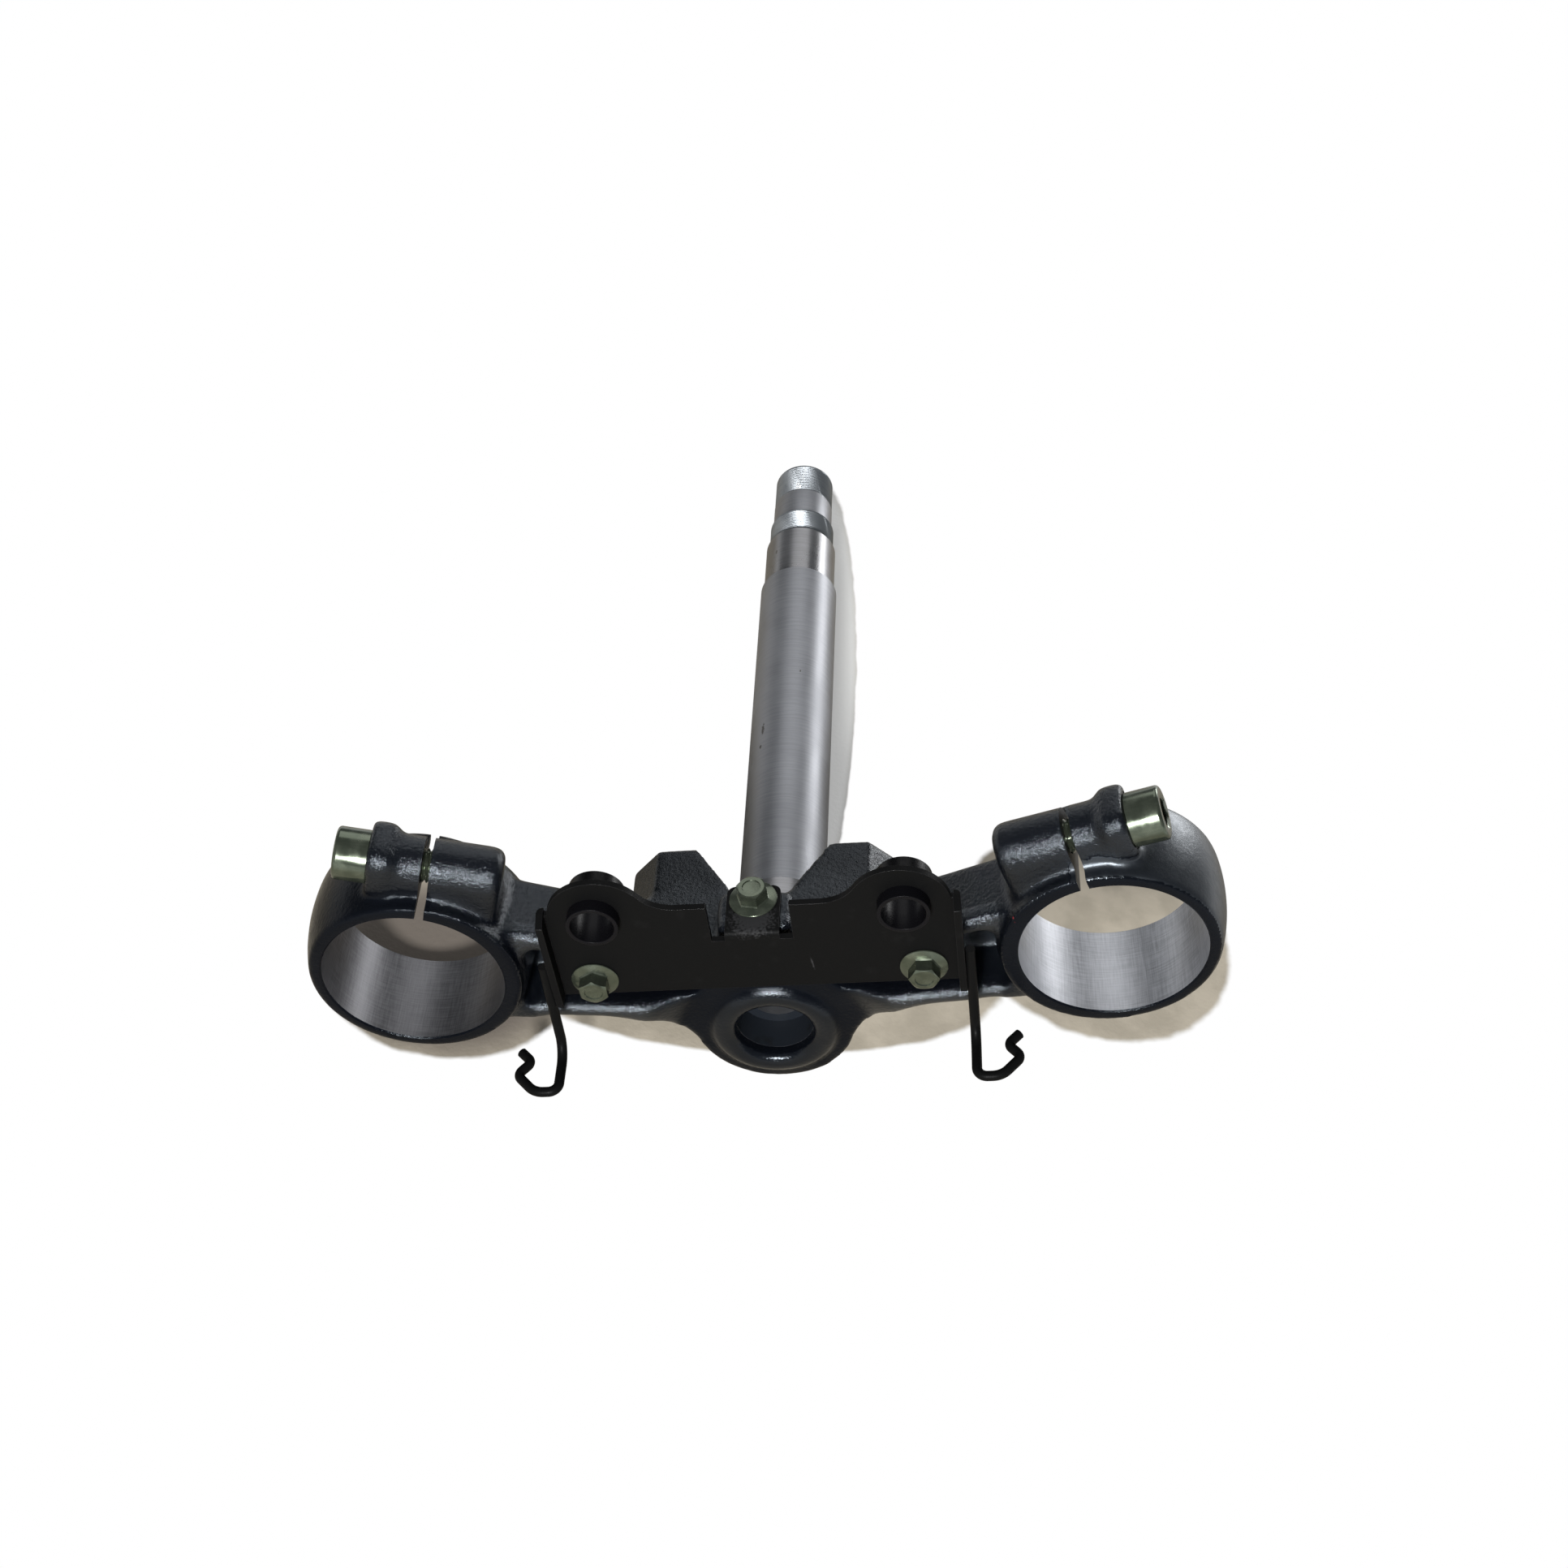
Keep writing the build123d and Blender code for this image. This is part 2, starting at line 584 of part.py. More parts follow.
# Hex flange bolts: two up into the pockets' bosses, one through the tab
BOLT_SEATS = (
    Plane(origin=(LOWER_BOLT_X, -LOWER_BOLT_Y, 0), x_dir=(1, 0, 0), z_dir=(0, 0, -1)),
    Plane(origin=(-LOWER_BOLT_X, -LOWER_BOLT_Y, 0), x_dir=(1, 0, 0), z_dir=(0, 0, -1)),
    Plane(origin=(0, -TAB_FACE, TOP_BOLT_Z), x_dir=(1, 0, 0), z_dir=(0, -1, 0)),
)
with BuildPart() as bracket_bolts:
    for seat in BOLT_SEATS:
        with BuildPart(mode=Mode.PRIVATE) as flange_bolt:
            with BuildSketch(seat) as bolt_hex:
                RegularPolygon(BOLT_HEX_AF / 2, 6, major_radius=False)
            extrude(amount=BOLT_HEX_H)
            chamfer(flange_bolt.faces().sort_by(Axis((0, 0, 0), seat.z_dir))[-1].edges(), BOLT_HEX_EDGE)
            with BuildSketch(seat) as bolt_flange:
                Circle(BOLT_FLANGE_R)
            extrude(amount=BOLT_FLANGE_H, taper=BOLT_FLANGE_TAPER)
            with BuildSketch(seat) as bolt_shank:
                Circle(BOLT_R)
            extrude(amount=-BOLT_LENGTH)
        add(flange_bolt.part)

# Rest: the clamp lies on the stem's top end, the rim of the stem boss and the left fork ring
RIM_Z = BOSS_TOP_Z - BOSS_TOP_EDGE
REST_PITCH = math.atan((NUT_R - BOSS_R) / (STEM_END_Z - STEM_EDGE - RIM_Z))
REST_DROP = BOSS_R - RING_BELLY_R - (RIM_Z - RING_BELLY_Z) * math.tan(REST_PITCH)
REST_ROLL = math.asin(REST_DROP / math.hypot(FORK_X, FORK_OFFSET)) + math.atan(FORK_OFFSET / FORK_X)
ON_BACK = Location((0, 0, 0), (-90, 0, 0))
TIPPED = Location((0, 0, 0), (math.degrees(REST_PITCH), -math.degrees(REST_ROLL), 0))

PIECES = {
    "lower_clamp": lower_clamp,
    "steering_stem": steering_stem,
    "pinch_bolts": pinch_bolts,
    "guide_bracket": guide_bracket,
    "left_collar": left_collar,
    "right_collar": right_collar,
    "left_hose_guide": left_hose_guide,
    "right_hose_guide": right_hose_guide,
    "bracket_bolts": bracket_bolts,
}
for piece in PIECES.values():
    piece.part.move(TIPPED * ON_BACK)

# The origin is on the floor, below the middle of the whole assembly
rest_box = Compound([piece.part for piece in PIECES.values()]).bounding_box()
ON_FLOOR = Location((-rest_box.center().X, -rest_box.center().Y, -rest_box.min.Z))

os.makedirs("parts", exist_ok=True)
for name, piece in PIECES.items():
    piece.part.move(ON_FLOOR)
    piece.part.label = name
    export_step(piece.part, f"parts/{name}.step")
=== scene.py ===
"""Looks of a motorcycle's lower triple clamp that lies on its back on a pale floor.

Sizes are millimetres along the clamp's own axes: X runs across, the front is towards -Y and
Z runs up the steering stem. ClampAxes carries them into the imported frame, which is in metres.
"""

import json
import logging
import math
from collections.abc import Sequence
from dataclasses import dataclass, field
from enum import Enum, IntEnum

import bpy
import numpy as np
from bpy.types import ID, Material, Mesh, Modifier, Node, NodeSocket as Socket, Object, World
from mathutils import Matrix, Vector


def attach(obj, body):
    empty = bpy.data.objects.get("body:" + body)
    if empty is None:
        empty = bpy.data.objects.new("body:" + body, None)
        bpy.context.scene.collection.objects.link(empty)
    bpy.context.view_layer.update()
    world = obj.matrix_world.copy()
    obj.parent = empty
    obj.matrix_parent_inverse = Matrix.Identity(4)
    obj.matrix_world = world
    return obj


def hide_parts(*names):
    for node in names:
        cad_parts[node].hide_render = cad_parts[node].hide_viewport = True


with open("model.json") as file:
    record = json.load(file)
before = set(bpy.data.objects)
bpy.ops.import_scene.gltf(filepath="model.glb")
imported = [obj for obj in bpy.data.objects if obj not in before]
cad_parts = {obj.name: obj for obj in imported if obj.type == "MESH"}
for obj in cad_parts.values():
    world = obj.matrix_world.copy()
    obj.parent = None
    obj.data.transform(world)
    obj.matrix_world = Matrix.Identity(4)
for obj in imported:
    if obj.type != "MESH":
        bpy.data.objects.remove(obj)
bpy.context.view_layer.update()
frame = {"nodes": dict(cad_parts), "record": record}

LOG = logging.getLogger("triple_clamp")
MM = 0.001
LOCAL = "local"
COARSE = "coarse"
Colour = tuple[float, float, float]
Point = tuple[float, float, float]
Span = tuple[float, float]
Array = np.ndarray
Profile = Sequence[tuple[float | Array, float | Array]]


class Slot(str, Enum):
    """Material slots of the record."""

    CLAMP = "clamp_paint"
    STEM = "stem_steel"
    BRACKET = "bracket_paint"
    ZINC = "zinc_plate"


class CastFinish(IntEnum):
    """Finish numbers on the cast clamp."""

    PAINT = 0
    # The left bore's finish is a darker copy of the honed wall, as painted shade; the right bore's
    # is a lighter copy, as painted light.
    LEFT_BORE = 1
    RIGHT_BORE = 2
    CUT = 3


class StemFinish(IntEnum):
    """Finish numbers on the steering stem."""

    GROUND = 0
    SEAT = 1
    THREAD = 2
    INSIDE = 3


class Side(IntEnum):
    """The two sides of the clamp, as signs along X."""

    LEFT = -1
    RIGHT = 1


def carry(points: Array, matrix: Matrix) -> Array:
    """Points moved by a matrix."""
    there = np.array(matrix)
    return points @ there[:3, :3].T + there[:3, 3]


@dataclass(frozen=True)
class ClampAxes:
    """The clamp's own axes: to_frame takes millimetres on them to the frame's metres."""

    to_frame: Matrix

    @classmethod
    def from_record(cls, record: dict) -> "ClampAxes":
        """Works the axes out from the fork and stem mounts.

        Args:
            record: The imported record.

        Returns:
            The axes, with the stem's axis as Z and the rings' lower ends in Z = 0.
        """
        mounts = {mount["name"]: mount for mount in record["mounts"]}
        left = Vector(mounts["left_fork_clamp"]["pos_m"])
        right = Vector(mounts["right_fork_clamp"]["pos_m"])
        half_ring = mounts["left_fork_clamp"]["dims"]["length_mm"] * MM / 2
        seat = Vector(mounts["lower_bearing_seat"]["pos_m"])
        up = Vector(mounts["lower_bearing_seat"]["axis"]).normalized()
        across = (right - left).normalized()
        back = up.cross(across)
        origin = seat + up * (((left + right) / 2 - seat).dot(up) - half_ring)
        turn = Matrix((across, back, up)).transposed().to_4x4()
        return cls(Matrix.Translation(origin) @ turn @ Matrix.Scale(MM, 4))

    def local(self, points: Array) -> Array:
        """Frame points as millimetres on the clamp's axes."""
        return carry(points, self.to_frame.inverted())

    def place(self, points: Array) -> Array:
        """Points on the clamp's axes as frame metres."""
        return carry(points, self.to_frame)


class NodeTree:
    """A node tree, with short calls for the nodes that the room and the finishes share."""

    def __init__(self, owner: Material | World) -> None:
        """Starts an empty tree on a material or a world."""
        owner.use_nodes = True
        self.tree = owner.node_tree
        self.tree.nodes.clear()

    def node(self, kind: str, settings: dict | None = None, inputs: dict | None = None) -> Node:
        """Adds a node.

        Args:
            kind: The node's type name.
            settings: Properties to set on it.
            inputs: Values or sockets for its inputs, by name or number.

        Returns:
            The new node.
        """
        made = self.tree.nodes.new(kind)
        for key, value in (settings or {}).items():
            setattr(made, key, value)
        self.fill(made, inputs or {})
        return made

    def fill(self, node: Node, inputs: dict) -> None:
        """Gives a node's inputs their values or joins them to sockets."""
        for key, value in inputs.items():
            if isinstance(value, Socket):
                self.tree.links.new(value, node.inputs[key])
            else:
                node.inputs[key].default_value = value

    def ramp(self, value: Socket, span: Span, low: float = 0.0, high: float = 1.0) -> Socket:
        """Eases a value that crosses a span into one that goes from low to high."""
        inputs = {"Value": value, "From Min": span[0], "From Max": span[1]}
        inputs |= {"To Min": low, "To Max": high}
        made = self.node("ShaderNodeMapRange", {"interpolation_type": "SMOOTHSTEP"}, inputs)
        return made.outputs["Result"]


class Shader(NodeTree):
    """One material with a surface shader, and short calls for what the finishes share."""

    def __init__(self, name: str) -> None:
        """Starts a material that holds a surface shader and its output."""
        self.material = bpy.data.materials.new(name)
        super().__init__(self.material)
        self.surface = self.node("ShaderNodeBsdfPrincipled")
        self.output = self.node("ShaderNodeOutputMaterial")
        self.fill(self.output, {"Surface": self.surface.outputs["BSDF"]})

    def dress(self, **inputs: object) -> Material:
        """Sets the surface's inputs, with underscores for blanks, and gives the material."""
        self.fill(self.surface, {key.replace("_", " "): value for key, value in inputs.items()})
        return self.material

    def anywhere(self) -> Socket:
        """Coordinates in the frame's metres."""
        return self.node("ShaderNodeTexCoord").outputs["Object"]

    def along_axis(self, around: float, along: float) -> Socket:
        """Coordinates on the piece's own axes, scaled across its axis and along it."""
        inputs = {0: self.own(), 1: (around, around, along)}
        scaled = self.node("ShaderNodeVectorMath", {"operation": "MULTIPLY"}, inputs)
        return scaled.outputs["Vector"]

    def own(self) -> Socket:
        """Coordinates on the piece's own axes, in metres."""
        return self.node("ShaderNodeAttribute", {"attribute_name": LOCAL}).outputs["Vector"]

    def noise(self, size: float, detail: float = 4.0, where: Socket | None = None) -> Socket:
        """A noise between 0 and 1 with a grain in millimetres, in the frame unless told where."""
        inputs = {"Vector": where or self.anywhere(), "Scale": 1 / (size * MM), "Detail": detail}
        return self.node("ShaderNodeTexNoise", inputs=inputs).outputs["Fac"]

    def nearest(self, where: Socket, spots: Sequence["Spot"]) -> Socket:
        """How far a point lies from the nearest of some spots.

        Args:
            where: Coordinates in metres.
            spots: The spots.

        Returns:
            A share of the way from a spot's middle to its skin.
        """
        near = None
        for spot in spots:
            inputs = {
                "Vector": where,
                "Location": [place * MM for place in spot.centre],
                "Rotation": [math.radians(angle) for angle in spot.turn],
                "Scale": [size * MM for size in spot.half],
            }
            spot_axes = self.node("ShaderNodeMapping", {"vector_type": "TEXTURE"}, inputs)
            length = {0: spot_axes.outputs["Vector"]}
            share = self.node("ShaderNodeVectorMath", {"operation": "LENGTH"}, length)
            share = share.outputs["Value"]
            near = share if near is None else self.math("MINIMUM", near, share)
        return near

    def marks(self, where: Socket, spots: Sequence["Spot"], size: float) -> Socket:
        """A value of 1 on some marks, whose ragged edges have a grain in millimetres, else 0."""
        ragged = self.math("MULTIPLY", self.noise(size, 3.0), 1.2)
        return self.ramp(self.math("ADD", self.nearest(where, spots), ragged), (0.9, 1.3), 1.0, 0.0)

    def math(self, operation: str, first: object, second: object) -> Socket:
        """Joins two values by a sum, a product or the like."""
        made = self.node("ShaderNodeMath", {"operation": operation}, {0: first, 1: second})
        return made.outputs["Value"]

    def weigh(self, first: Socket, second: Socket, share: float) -> Socket:
        """The sum of two values, the first by a share and the second by the rest."""
        rest = self.math("MULTIPLY", second, 1 - share)
        return self.math("ADD", self.math("MULTIPLY", first, share), rest)

    def blend(self, share: Socket, first: object, second: object) -> Socket:
        """A colour that goes from the first to the second with the share."""
        made = self.node("ShaderNodeMix", {"data_type": "RGBA"}, {"Factor": share})
        for key, value in (("A_Color", first), ("B_Color", second)):
            socket = next(s for s in made.inputs if s.identifier == key)
            if isinstance(value, Socket):
                self.tree.links.new(value, socket)
            else:
                socket.default_value = (*value, 1.0)
        return next(s for s in made.outputs if s.identifier == "Result_Color")

    def bump(self, height: Socket, depth: float) -> Socket:
        """A normal that follows a height from 0 to 1, with a depth in millimetres."""
        inputs = {"Height": height, "Distance": depth * MM}
        return self.node("ShaderNodeBump", inputs=inputs).outputs["Normal"]


@dataclass(frozen=True)
class Spot:
    """A small mark: an ellipsoid in millimetres on the axes that its material uses."""

    centre: Point
    half: Point
    turn: Point = (0.0, 0.0, 0.0)


@dataclass(frozen=True)
class CastPaint:
    """Semi-gloss blue-black paint on a rough casting, rubbed grey on its edges.

    Smooth paint shines by sheen, plain paint by dull and coarse paint by gleam and glint.
    """

    deep: Colour = (0.0018, 0.0023, 0.0037)
    pale: Colour = (0.004, 0.005, 0.0075)
    rubbed: Colour = (0.13, 0.13, 0.145)
    primer: Colour = (0.2, 0.02, 0.022)
    tint: Colour = (0.82, 0.91, 1.0)
    patch: float = 17.0
    pebble: float = 1.15
    depth: float = 0.26
    grit: float = 0.35
    edge_span: Span = (0.54, 0.62)
    wear_span: Span = (0.52, 0.7)
    most_worn: float = 0.6
    dull: float = 0.1
    sheen: float = 1.0
    smooth_span: Span = (0.3, 0.45)
    gleam: float = 0.5
    coarse_span: Span = (0.55, 0.9)
    glint: float = 0.5
    coarsest_span: Span = (1.05, 1.3)
    flow: Span = (0.1, 0.18)
    rough: float = 0.03
    even_rough: float = 0.24
    even_span: Span = (0.2, 0.4)
    chips: tuple[Spot, ...] = (
        Spot((74.5, -55.2, 1.0), (0.7, 2.6, 1.2), (0, 0, -25)),
        Spot((71.2, -44.5, 1.4), (0.5, 0.7, 0.6)),
        Spot((70.8, -38.0, 1.4), (0.5, 0.6, 0.5)),
    )

    def material(self, name: str) -> Material:
        """Makes the paint."""
        shader = Shader(name)
        patches = shader.noise(self.patch, 3.0)
        pebbles = shader.noise(self.pebble, 3.0)
        grit = shader.math("MULTIPLY", shader.noise(self.pebble / 4, 2.0), self.grit)
        coarse = shader.node("ShaderNodeAttribute", {"attribute_name": COARSE}).outputs["Fac"]
        relief = shader.math("MULTIPLY", shader.math("ADD", pebbles, grit), coarse)
        bend = shader.node("ShaderNodeNewGeometry").outputs["Pointiness"]
        worn = shader.ramp(shader.noise(2.4), self.wear_span, 0.0, self.most_worn)
        wear = shader.math("MULTIPLY", shader.ramp(bend, self.edge_span), worn)
        paint = shader.blend(patches, self.deep, self.pale)
        paint = shader.blend(wear, paint, self.rubbed)
        chipped = shader.marks(shader.own(), self.chips, 0.8)
        flow = shader.ramp(shader.noise(3.2), (0.3, 0.75), *self.flow)
        rough = shader.ramp(coarse, self.even_span, self.even_rough, self.rough)
        smooth = shader.ramp(coarse, self.smooth_span, self.sheen, self.dull)
        gleam = shader.ramp(coarse, self.coarse_span, 0.0, self.gleam)
        glint = shader.ramp(coarse, self.coarsest_span, 0.0, self.glint)
        return shader.dress(
            Base_Color=shader.blend(chipped, paint, self.primer),
            Roughness=shader.math("ADD", rough, flow),
            Specular_IOR_Level=shader.math("ADD", shader.math("MAXIMUM", smooth, gleam), glint),
            Specular_Tint=(*self.tint, 1.0),
            Normal=shader.bump(relief, self.depth),
        )


@dataclass(frozen=True)
class HonedBore:
    """Grey machined wall with fine crossing scratches."""

    dark: Colour = (0.31, 0.318, 0.34)
    light: Colour = (0.53, 0.542, 0.575)
    rough: float = 0.44
    scratch: float = 0.36
    stretch: float = 0.045
    depth: float = 0.006

    def material(self, name: str) -> Material:
        """Makes the wall."""
        shader = Shader(name)
        round_marks = shader.noise(self.scratch, 2.0, shader.along_axis(self.stretch, 1.0))
        long_marks = shader.noise(self.scratch, 2.0, shader.along_axis(1.0, self.stretch))
        hatch = shader.weigh(round_marks, long_marks, 0.5)
        tone = shader.ramp(shader.weigh(hatch, shader.noise(16.0, 3.0), 0.85), (0.3, 0.7))
        return shader.dress(
            Base_Color=shader.blend(tone, self.dark, self.light),
            Metallic=0.92,
            Roughness=shader.ramp(hatch, (0.3, 0.7), self.rough - 0.05, self.rough + 0.05),
            Normal=shader.bump(hatch, self.depth),
        )


@dataclass(frozen=True)
class FlatPaint:
    """Flat black paint with a faint grain, paler rubs and a few paler marks: scratches, and worn
    spots that also hold a painted highlight.
    """

    black: Colour = (0.0042, 0.0043, 0.0044)
    rub: Colour = (0.0075, 0.0075, 0.0078)
    bare_metal_and_highlight: Colour = (0.2, 0.2, 0.21)
    rough: float = 0.5
    gleam: float = 0.05
    grain: float = 0.5
    depth: float = 0.012
    scratch_and_highlight_share: float = 0.12
    scratches_and_highlight: tuple[Spot, ...] = ()

    def material(self, name: str) -> Material:
        """Makes the paint."""
        shader = Shader(name)
        grain = shader.noise(self.grain, 2.0)
        rubs = shader.ramp(shader.noise(6.0, 6.0), (0.58, 0.74), 0.0, 0.6)
        colour = shader.blend(rubs, self.black, self.rub)
        # Marks blend towards pale grey: real scratches, and where given a worn spot that is also a
        # painted highlight.
        if self.scratches_and_highlight:
            marks = shader.marks(shader.anywhere(), self.scratches_and_highlight, 0.7)
            share = shader.math("MULTIPLY", marks, self.scratch_and_highlight_share)
            colour = shader.blend(share, colour, self.bare_metal_and_highlight)
        return shader.dress(
            Base_Color=colour,
            Roughness=shader.ramp(grain, (0.3, 0.7), self.rough - 0.06, self.rough + 0.08),
            Specular_IOR_Level=self.gleam,
            Normal=shader.bump(grain, self.depth),
        )


@dataclass(frozen=True)
class TurnedSteel:
    """Bare steel with the tool's marks running round it, lightly clouded and stained."""

    dark: Colour = (0.262, 0.268, 0.286)
    light: Colour = (0.327, 0.334, 0.356)
    stain: Colour = (0.07, 0.062, 0.055)
    rough: float = 0.48
    mark: float = 0.5
    depth: float = 0.004
    stained: float = 0.8
    stains: tuple[Spot, ...] = (
        Spot((-8.1, -11.4, 131.5), (1.0, 2.0, 5.0), (0, 4, 0)),
        Spot((-8.6, -11.0, 123.0), (0.7, 1.5, 1.6)),
        Spot((-7.7, -10.5, 228.8), (0.7, 1.5, 1.8)),
        Spot((4.0, -13.4, 158.0), (0.5, 1.0, 0.9)),
    )

    def material(self, name: str) -> Material:
        """Makes the steel."""
        shader = Shader(name)
        rings = shader.noise(self.mark, 3.0, shader.along_axis(0.05, 1.0))
        clouds = shader.noise(14.0, 5.0, shader.along_axis(1.0, 0.55))
        tone = shader.ramp(shader.weigh(rings, clouds, 0.4), (0.35, 0.65))
        metal = shader.blend(tone, self.dark, self.light)
        marks = shader.marks(shader.own(), self.stains, 1.1)
        stained = shader.math("MULTIPLY", marks, self.stained)
        return shader.dress(
            Base_Color=shader.blend(stained, metal, self.stain),
            Metallic=0.9,
            Roughness=shader.ramp(clouds, (0.3, 0.7), self.rough - 0.04, self.rough + 0.05),
            Normal=shader.bump(rings, self.depth),
        )


@dataclass(frozen=True)
class OliveZinc:
    """Glossy olive zinc plating with paler rubs."""

    deep: Colour = (0.088, 0.104, 0.077)
    pale: Colour = (0.13, 0.149, 0.112)
    rough: float = 0.2
    depth: float = 0.008

    def material(self, name: str) -> Material:
        """Makes the plating."""
        shader = Shader(name)
        clouds = shader.noise(3.4, 3.0)
        streaks = shader.noise(0.5, 2.0, shader.along_axis(1.0, 0.08))
        tone = shader.ramp(shader.weigh(clouds, streaks, 0.75), (0.35, 0.7))
        return shader.dress(
            Base_Color=shader.blend(tone, self.deep, self.pale),
            Metallic=0.8,
            Roughness=shader.ramp(clouds, (0.3, 0.7), self.rough - 0.04, self.rough + 0.08),
            Normal=shader.bump(clouds, self.depth),
        )


@dataclass
class MeshDraft:
    """Points, faces and finish numbers of one mesh while it is drawn, in millimetres."""

    points: list[Array] = field(default_factory=list)
    faces: list[tuple[int, ...]] = field(default_factory=list)
    finishes: list[int] = field(default_factory=list)

    def count(self) -> int:
        """How many points are drawn so far."""
        return sum(len(block) for block in self.points)

    @classmethod
    def turned(cls, profile: Profile, around: int) -> "MeshDraft":
        """A draft of one turned body."""
        made = cls()
        made.turn(profile, around)
        return made

    def turn(
        self, profile: Profile, around: int, finishes: Sequence[int] | int = 0, loop: bool = False
    ) -> None:
        """Adds a turned skin round Z.

        Args:
            profile: Radius and height of each row, as numbers or as arrays with the angle.
            around: The number of angles.
            finishes: The finish of each band between two rows, or one for all.
            loop: Joins the last row to the first. Otherwise both ends are closed by a face.
        """
        rows = [[np.broadcast_to(value, around) for value in point] for point in profile]
        radii, heights = np.array(rows, float).transpose(1, 0, 2)
        start, levels = self.count(), len(rows)
        angle = np.arange(around) * 2 * math.pi / around
        skin = np.stack((radii * np.cos(angle), radii * np.sin(angle), heights), axis=-1)
        self.points.append(skin.reshape(-1, 3))
        bands = levels if loop else levels - 1
        band_finishes = [finishes] * bands if isinstance(finishes, int) else finishes
        for level in range(bands):
            low, high = start + level * around, start + (level + 1) % levels * around
            for step in range(around):
                after = (step + 1) % around
                self.faces.append((low + step, low + after, high + after, high + step))
                self.finishes.append(band_finishes[level])
        if not loop:
            top = start + (levels - 1) * around
            self.faces.append(tuple(range(start, start + around))[::-1])
            self.faces.append(tuple(range(top, top + around)))
            self.finishes += [band_finishes[0], band_finishes[-1]]

    def block(self, low: Sequence[float], high: Sequence[float]) -> None:
        """Adds a box between two corners."""
        start = self.count()
        xs, ys, zs = zip(low, high)
        self.points.append(np.array([(x, y, z) for z in zs for y in ys for x in xs], float))
        sides = ((0, 2, 3, 1), (4, 5, 7, 6), (0, 1, 5, 4), (2, 6, 7, 3), (0, 4, 6, 2), (1, 3, 7, 5))
        for face in sides:
            self.faces.append(tuple(start + corner for corner in face))
            self.finishes.append(0)

    def shift(self, place: Matrix) -> "MeshDraft":
        """The same draft moved by a matrix."""
        moved = [carry(block, place) for block in self.points]
        return MeshDraft(moved, list(self.faces), list(self.finishes))

    def join(self, other: "MeshDraft") -> None:
        """Adds another draft to this one."""
        start = self.count()
        self.points += other.points
        self.faces += [tuple(start + corner for corner in face) for face in other.faces]
        self.finishes += other.finishes

    def mesh(self, name: str, axes: ClampAxes, place: Matrix | None = None) -> Mesh:
        """Makes the mesh, which remembers its points on the piece's own axes.

        Args:
            name: The mesh's name.
            axes: The clamp's axes.
            place: Where the piece's own axes lie on the clamp's.

        Returns:
            The mesh, in the frame's metres.
        """
        own = np.concatenate(self.points)
        moved = carry(own, place or Matrix())
        made = bpy.data.meshes.new(name)
        made.from_pydata(axes.place(moved).tolist(), [], self.faces)
        made.polygons.foreach_set("material_index", self.finishes)
        remember(made, own)
        return made


def remember(mesh: Mesh, own: Array) -> None:
    """Stores where each point lies on the piece's own axes, for the materials."""
    old = mesh.attributes.get(LOCAL)
    if old is not None:
        mesh.attributes.remove(old)
    kept = mesh.attributes.new(LOCAL, "FLOAT_VECTOR", "POINT")
    kept.data.foreach_set("vector", (own * MM).astype(np.float32).ravel())


def points_of(mesh: Mesh) -> Array:
    """A mesh's points as rows."""
    points = np.empty(len(mesh.vertices) * 3)
    mesh.vertices.foreach_get("co", points)
    return points.reshape(-1, 3)


def wall(radius: float, low: float, high: float) -> tuple[Span, Span]:
    """A plain round wall in a profile."""
    return (radius, low), (radius, high)


def hexagon(across_flats: float, around: int) -> Array:
    """Radius of a hexagon at each of a number of angles."""
    angle = np.arange(around) * 2 * math.pi / around
    return across_flats / 2 / np.cos((angle + math.pi / 6) % (math.pi / 3) - math.pi / 6)


def arc(centre: Span, radius: float, start: float, end: float, steps: int) -> list[Span]:
    """Points of an arc in a profile, with its angles in degrees."""
    angles = np.radians(np.linspace(start, end, steps + 1))
    return [(centre[0] + radius * math.cos(a), centre[1] + radius * math.sin(a)) for a in angles]


def into_scene(data: ID) -> Object:
    """Puts a mesh, a light or a camera into the scene under its own name."""
    made = bpy.data.objects.new(data.name, data)
    bpy.context.scene.collection.objects.link(made)
    return made


def modify(piece: Object, name: str, kind: str, **settings: object) -> Modifier:
    """Adds a modifier with its settings to an object."""
    made = piece.modifiers.new(name, kind)
    for key, value in settings.items():
        setattr(made, key, value)
    return made


def add_piece(
    mesh: Mesh, sharp: float, replaced: str, finishes: Sequence[Material]
) -> None:
    """Puts a mesh into the scene in place of a node, shaded smoothly.

    Args:
        mesh: The mesh, in the frame's metres.
        sharp: The angle in degrees from which its edges stay sharp.
        replaced: The node it stands for.
        finishes: Its materials, in the order of the finish numbers.
    """
    mesh.polygons.foreach_set("use_smooth", [True] * len(mesh.polygons))
    mesh.set_sharp_from_angle(angle=math.radians(sharp))
    numbers = np.empty(len(mesh.polygons), np.int32)
    mesh.polygons.foreach_get("material_index", numbers)
    mesh.materials.clear()
    for finish in finishes:
        mesh.materials.append(finish)
    mesh.polygons.foreach_set("material_index", numbers)
    piece = into_scene(mesh)
    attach(piece, "root")
    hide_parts(replaced)
    LOG.info("%s: %d faces", piece.name, len(mesh.polygons))


def solved(source: Object) -> Mesh:
    """The mesh of an object with its modifiers carried out."""
    bpy.context.view_layer.update()
    ready = source.evaluated_get(bpy.context.evaluated_depsgraph_get())
    return bpy.data.meshes.new_from_object(ready)


